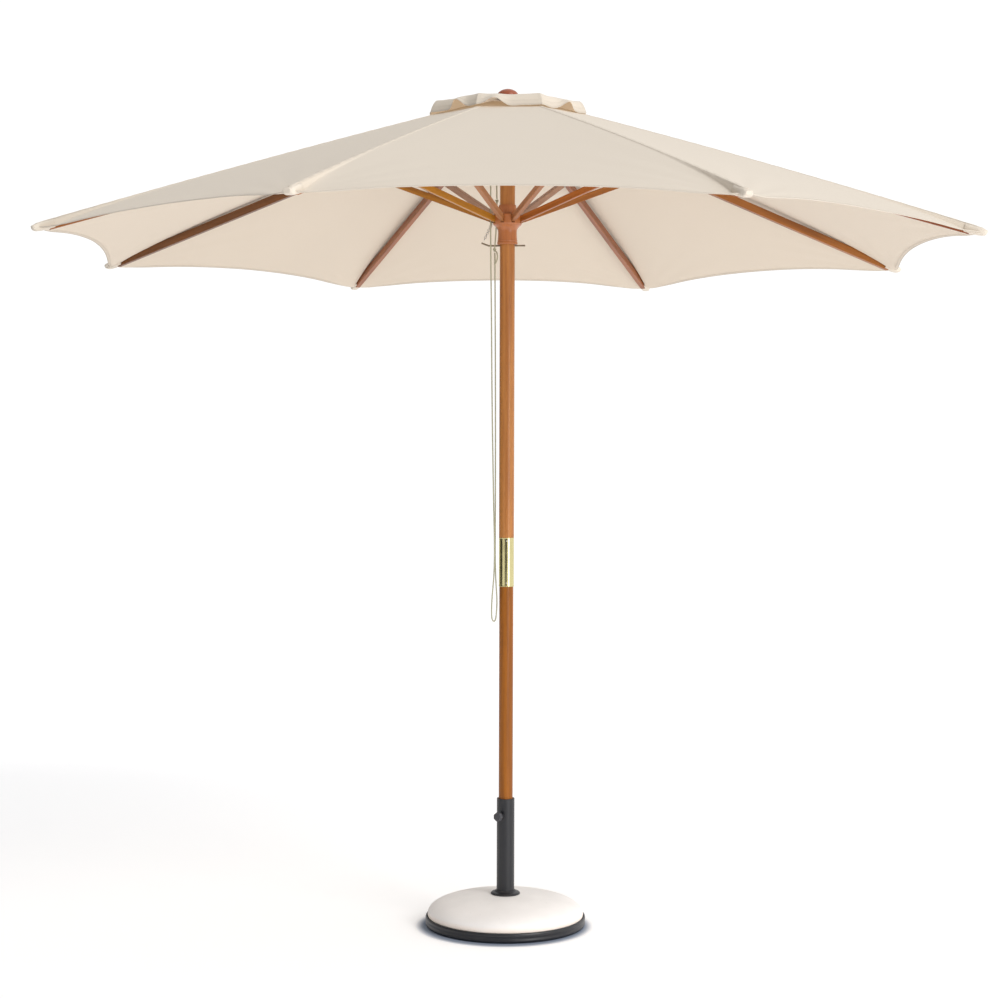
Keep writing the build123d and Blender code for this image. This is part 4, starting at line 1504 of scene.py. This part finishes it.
# ---- hoist cord, knots and pin chain ------------------------------------------------------
@dataclass
class Hoist:
    """Hoist cord in three strands, its knots on the runner and the locking pin's chain."""

    radius: float = 0.0022
    lift: Tuple[Point, ...] = (
        (-0.0460, 0.0, 2.5742), (-0.0378, 0.0, 2.5742), (-0.0378, 0.0, 2.5460), (-0.0340, -0.0020, 2.32652))
    fall: Tuple[Point, ...] = (
        (-0.0460, 0.0, 2.5742), (-0.0542, 0.0, 2.5742), (-0.0542, 0.0, 2.5460),
        (-0.0538, -0.0050, 2.178), (-0.0506, -0.0060, 2.001), (-0.0478, -0.0065, 1.681),
        (-0.0417, -0.0068, 1.360), (-0.0382, -0.0070, 1.225), (-0.0390, -0.0075, 1.130),
        (-0.0450, -0.0080, 1.066), (-0.0474, -0.0080, 1.020), (-0.0466, -0.0074, 0.980),
        (-0.0344, -0.0054, 0.9755), (-0.0324, -0.0049, 0.996))
    back: Tuple[Point, ...] = (
        (-0.0324, -0.0049, 0.996), (-0.0304, -0.0044, 1.0165), (-0.0300, -0.0034, 1.052),
        (-0.0340, -0.0022, 1.110), (-0.0364, -0.0014, 1.190), (-0.0358, -0.0012, 1.360),
        (-0.0364, -0.0014, 1.681), (-0.0385, -0.0020, 2.001), (-0.0400, -0.0030, 2.156))
    upper_knot: Point = (-0.0340, -0.0020, 2.32022)
    lower_knot: Point = (-0.0410, -0.0030, 2.1650)
    passage_bend: Point = (-0.0340, -0.0020, 2.24122)
    tail: Tuple[Point, ...] = (
        (-0.0395, -0.0050, 2.1625), (-0.0330, -0.0115, 2.1560), (-0.0316, -0.0150, 2.1420),
        (-0.0350, -0.0165, 2.1250), (-0.0420, -0.0160, 2.1150))
    loop_z: float = 0.9800
    keep: float = 0.45
    chain_end: Point = (-0.078, 0, 2.19025)
    link_ring: float = 0.0040
    link_wire: float = 0.0008
    link_pitch: float = 0.0062
    knot_size: float = 0.0042

    def knot(self, centre: Point, size: float) -> np.ndarray:
        """Centre line of a small overhand knot.

        Args:
            centre: middle of the knot.
            size: its half width.

        Returns:
            Points along it.
        """
        a = np.linspace(-0.35, 2 * math.pi - 0.75, 90)
        line = np.stack([np.sin(a) + 1.6 * np.sin(2 * a), 1.15 * np.sin(3 * a),
                         np.cos(a) - 1.6 * np.cos(2 * a)], -1)
        return np.array(centre) + line * size / 2.7

    def strands(self) -> Dict[str, Tuple[bpy.types.Object, np.ndarray]]:
        """The three strands with their centre lines."""
        made = {}
        for name, route in (("hoist_cord_lift", self.lift), ("hoist_cord_fall", self.fall),
                            ("hoist_cord_return", self.back)):
            line = spline_points(route, 16)
            made[name] = (tube(name + "_strand", line, self.radius, CORD), line)
        return made

    def knots(self) -> bpy.types.Object:
        """Both knots, the passage between them and the loose tail, as one piece on the runner."""
        parts = [tube(name, self.knot(centre, self.knot_size), self.radius * 0.95, CORD, 10)
                 for name, centre in (("upper_knot", self.upper_knot), ("lower_knot", self.lower_knot))]
        parts += [tube("passage", spline_points((self.upper_knot, self.passage_bend, self.lower_knot)),
                       self.radius, CORD, 10),
                  tube("tail", spline_points(self.tail), self.radius, CORD, 10)]
        bpy.ops.object.select_all(action="DESELECT")
        for part in parts:
            part.select_set(True)
        bpy.context.view_layer.objects.active = parts[0]
        bpy.ops.object.join()
        parts[0].name = "runner_knots"
        return parts[0]

    def chain(self) -> bpy.types.Object:
        """Links from the peg in the runner down to the locking pin's turned end."""
        peg_low, peg_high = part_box("chain_peg")
        top = Vector((-0.0486, 0, (peg_low.z + peg_high.z) / 2 - 0.0011))
        run = Vector(self.chain_end) - top
        count = int(run.length / self.link_pitch)
        turn = Matrix.Rotation(math.radians(-6), 3, "Z")
        direction = run.normalized()
        points = np.array([turn @ (top + direction * self.link_pitch * i) for i in range(count)])
        facing = np.tile(np.array(turn @ direction), (count, 1))
        tree = chain_tree("pin_chain_links", self.link_ring, self.link_wire, STEEL)
        return tree.grow("pin_chain_run", points, [], facing)

    def make(self) -> None:
        """Builds cord, knots and chain."""
        knots = self.knots()
        settle(knots, "runner", "runner_cord")
        for name, (piece, line) in self.strands().items():
            settle(piece, "upper_pole", name)
            if name == "hoist_cord_return":
                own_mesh(piece)
            log.info("%s: %.3f m", name, lengths(line)[-1])
        chain = self.chain()
        settle(chain, "locking_pin", "pin_chain")


# ---- floor, light and camera --------------------------------------------------------------
@dataclass
class Studio:
    """Pale floor with a shaded ring round the base, white light all round, sun, strip, cards and camera."""

    eye: Point = (-0.1213, -6.1949, 1.5086)
    yaw: float = -0.01617
    pitch: float = 0.02247
    roll: float = 0.0030
    lens: float = 69.64
    sky: float = 1.05
    key: float = 0.9
    dim: float = 0.22
    bright: float = 0.98
    bright_side: Point = (0.75, -0.1, 0.55)
    strip_at: Point = (2.9, -4.2, 1.15)
    strip_power: float = 48.0
    strip_size: Tuple[float, float] = (1.1, 2.1)
    strip_aim: Point = (0.0, 0.0, 1.3)
    sun_turn: Tuple[float, float] = (58.0, 44.0)
    floor_half: float = 45.0
    floor_glow: float = 0.24
    # shift of the painted shade from the pole's axis and the radii it fades out between
    shade_shift: Tuple[float, float] = (0.006, 0.014)
    shade_ring: Tuple[float, float] = (0.254, 0.292)
    # ends on the floor plan and heights of each black card
    cards: Tuple[Tuple[Tuple[float, float], Tuple[float, float], float, float], ...] = (
        ((-3.3, -6.4), (1.6, -6.6), 0.5, 2.5), ((-3.2, -1.6), (-3.0, 1.6), 0.7, 1.9))

    def floor(self) -> None:
        """A wide pale floor that glows a little, with the shade round the base painted on."""
        half = self.floor_half
        points = np.array([(-half, -half, 0), (half, -half, 0), (half, half, 0), (-half, half, 0)], float)
        mesh = bpy.data.meshes.new("studio_floor")
        mesh.from_pydata(points.tolist(), [], [(0, 1, 2, 3)])
        plane = bpy.data.objects.new("studio_floor", mesh)
        bpy.context.scene.collection.objects.link(plane)
        graph = Graph("pale_floor")
        x, y, _ = graph.split(graph.space())
        across, back = x + self.shade_shift[0], y + self.shade_shift[1]
        near, far = self.shade_ring
        away = (across * across + back * back).band(near ** 2, far ** 2)
        painted_glow = graph.mix(away, (0.0, 0.0, 0.0), (1.0, 1.0, 1.0))
        colour = graph.mix(away, (0.30, 0.35, 0.45), (0.92, 0.92, 0.93))
        mesh.materials.append(graph.finish(
            colour, 0.85, Specular_IOR_Level=0.1, Emission_Color=painted_glow, Emission_Strength=self.floor_glow))

    def light(self) -> None:
        """White surroundings, brighter right and above, with a soft sun and a strip light from the right."""
        world = bpy.data.worlds.new("studio")
        bpy.context.scene.world = world
        world.use_nodes = True
        tree = world.node_tree
        shown = tree.nodes["Background"]
        shown.inputs[1].default_value = self.sky
        cast = tree.nodes.new("ShaderNodeBackground")
        toward = tree.nodes.new("ShaderNodeTexCoord")
        lean = tree.nodes.new("ShaderNodeVectorMath")
        lean.operation = "DOT_PRODUCT"
        lean.inputs[1].default_value = Vector(self.bright_side).normalized()
        grade = tree.nodes.new("ShaderNodeMapRange")
        grade.interpolation_type = "SMOOTHSTEP"
        limits = {"From Min": -0.75, "From Max": 0.8, "To Min": self.dim, "To Max": self.bright}
        for key, value in limits.items():
            grade.inputs[key].default_value = value
        ray = tree.nodes.new("ShaderNodeLightPath")
        either = tree.nodes.new("ShaderNodeMixShader")
        for start, end in ((toward.outputs["Generated"], lean.inputs[0]),
                           (lean.outputs["Value"], grade.inputs[0]),
                           (grade.outputs[0], cast.inputs[1]),
                           (ray.outputs["Is Camera Ray"], either.inputs[0]),
                           (cast.outputs[0], either.inputs[1]), (shown.outputs[0], either.inputs[2]),
                           (either.outputs[0], tree.nodes["World Output"].inputs[0])):
            tree.links.new(start, end)
        for background in (shown, cast):
            background.inputs[0].default_value = (1, 1, 1, 1)
        lamp = bpy.data.lights.new("key", "SUN")
        lamp.energy, lamp.angle, lamp.color = self.key, math.radians(24), (1.0, 0.985, 0.965)
        holder = bpy.data.objects.new("key", lamp)
        holder.rotation_euler = (math.radians(self.sun_turn[0]), 0, math.radians(self.sun_turn[1]))
        bpy.context.scene.collection.objects.link(holder)
        strip = bpy.data.lights.new("strip", "AREA")
        strip.shape, strip.energy = "RECTANGLE", self.strip_power
        strip.size, strip.size_y = self.strip_size
        holder = bpy.data.objects.new("strip", strip)
        holder.location = self.strip_at
        aim = Vector(self.strip_aim) - Vector(self.strip_at)
        holder.rotation_euler = aim.to_track_quat("-Z", "Y").to_euler()
        bpy.context.scene.collection.objects.link(holder)

    def flags(self) -> None:
        """Black cards out of view that put soft dark sides on what is round and shiny."""
        black = Graph("black_card").finish((0.012, 0.012, 0.013), 0.9)
        for number, (start, end, low, high) in enumerate(self.cards):
            points = [(*start, low), (*end, low), (*end, high), (*start, high)]
            mesh = bpy.data.meshes.new(f"card_{number}")
            mesh.from_pydata(points, [], [(0, 1, 2, 3)])
            mesh.materials.append(black)
            card = bpy.data.objects.new(f"card_{number}", mesh)
            bpy.context.scene.collection.objects.link(card)
            card.visible_camera = False

    def camera(self) -> None:
        """The camera, at standing height in front."""
        lens = bpy.data.cameras.new("camera")
        lens.lens, lens.sensor_width, lens.clip_end = self.lens, 36.0, 200.0
        holder = bpy.data.objects.new("camera", lens)
        holder.matrix_world = (Matrix.Translation(self.eye) @ Matrix.Rotation(self.yaw, 4, "Z")
                               @ Matrix.Rotation(math.pi / 2 - self.pitch, 4, "X")
                               @ Matrix.Rotation(self.roll, 4, "Z"))
        bpy.context.scene.collection.objects.link(holder)
        bpy.context.scene.camera = holder
        bpy.context.scene.view_settings.view_transform = "Standard"

    def make(self) -> None:
        """Sets floor, light and camera."""
        self.floor()
        self.light()
        self.flags()
        self.camera()
        log.info("studio set")


def main() -> None:
    """Builds the umbrella's looks round its frame, in order."""
    for section in (Studio(), Hoist(), Base(), Pole(), Frame(), Canopy(), CornerPockets(), VentCap()):
        section.make()
        log.info("%s ready", type(section).__name__)


if __name__ == "__main__":
    main()
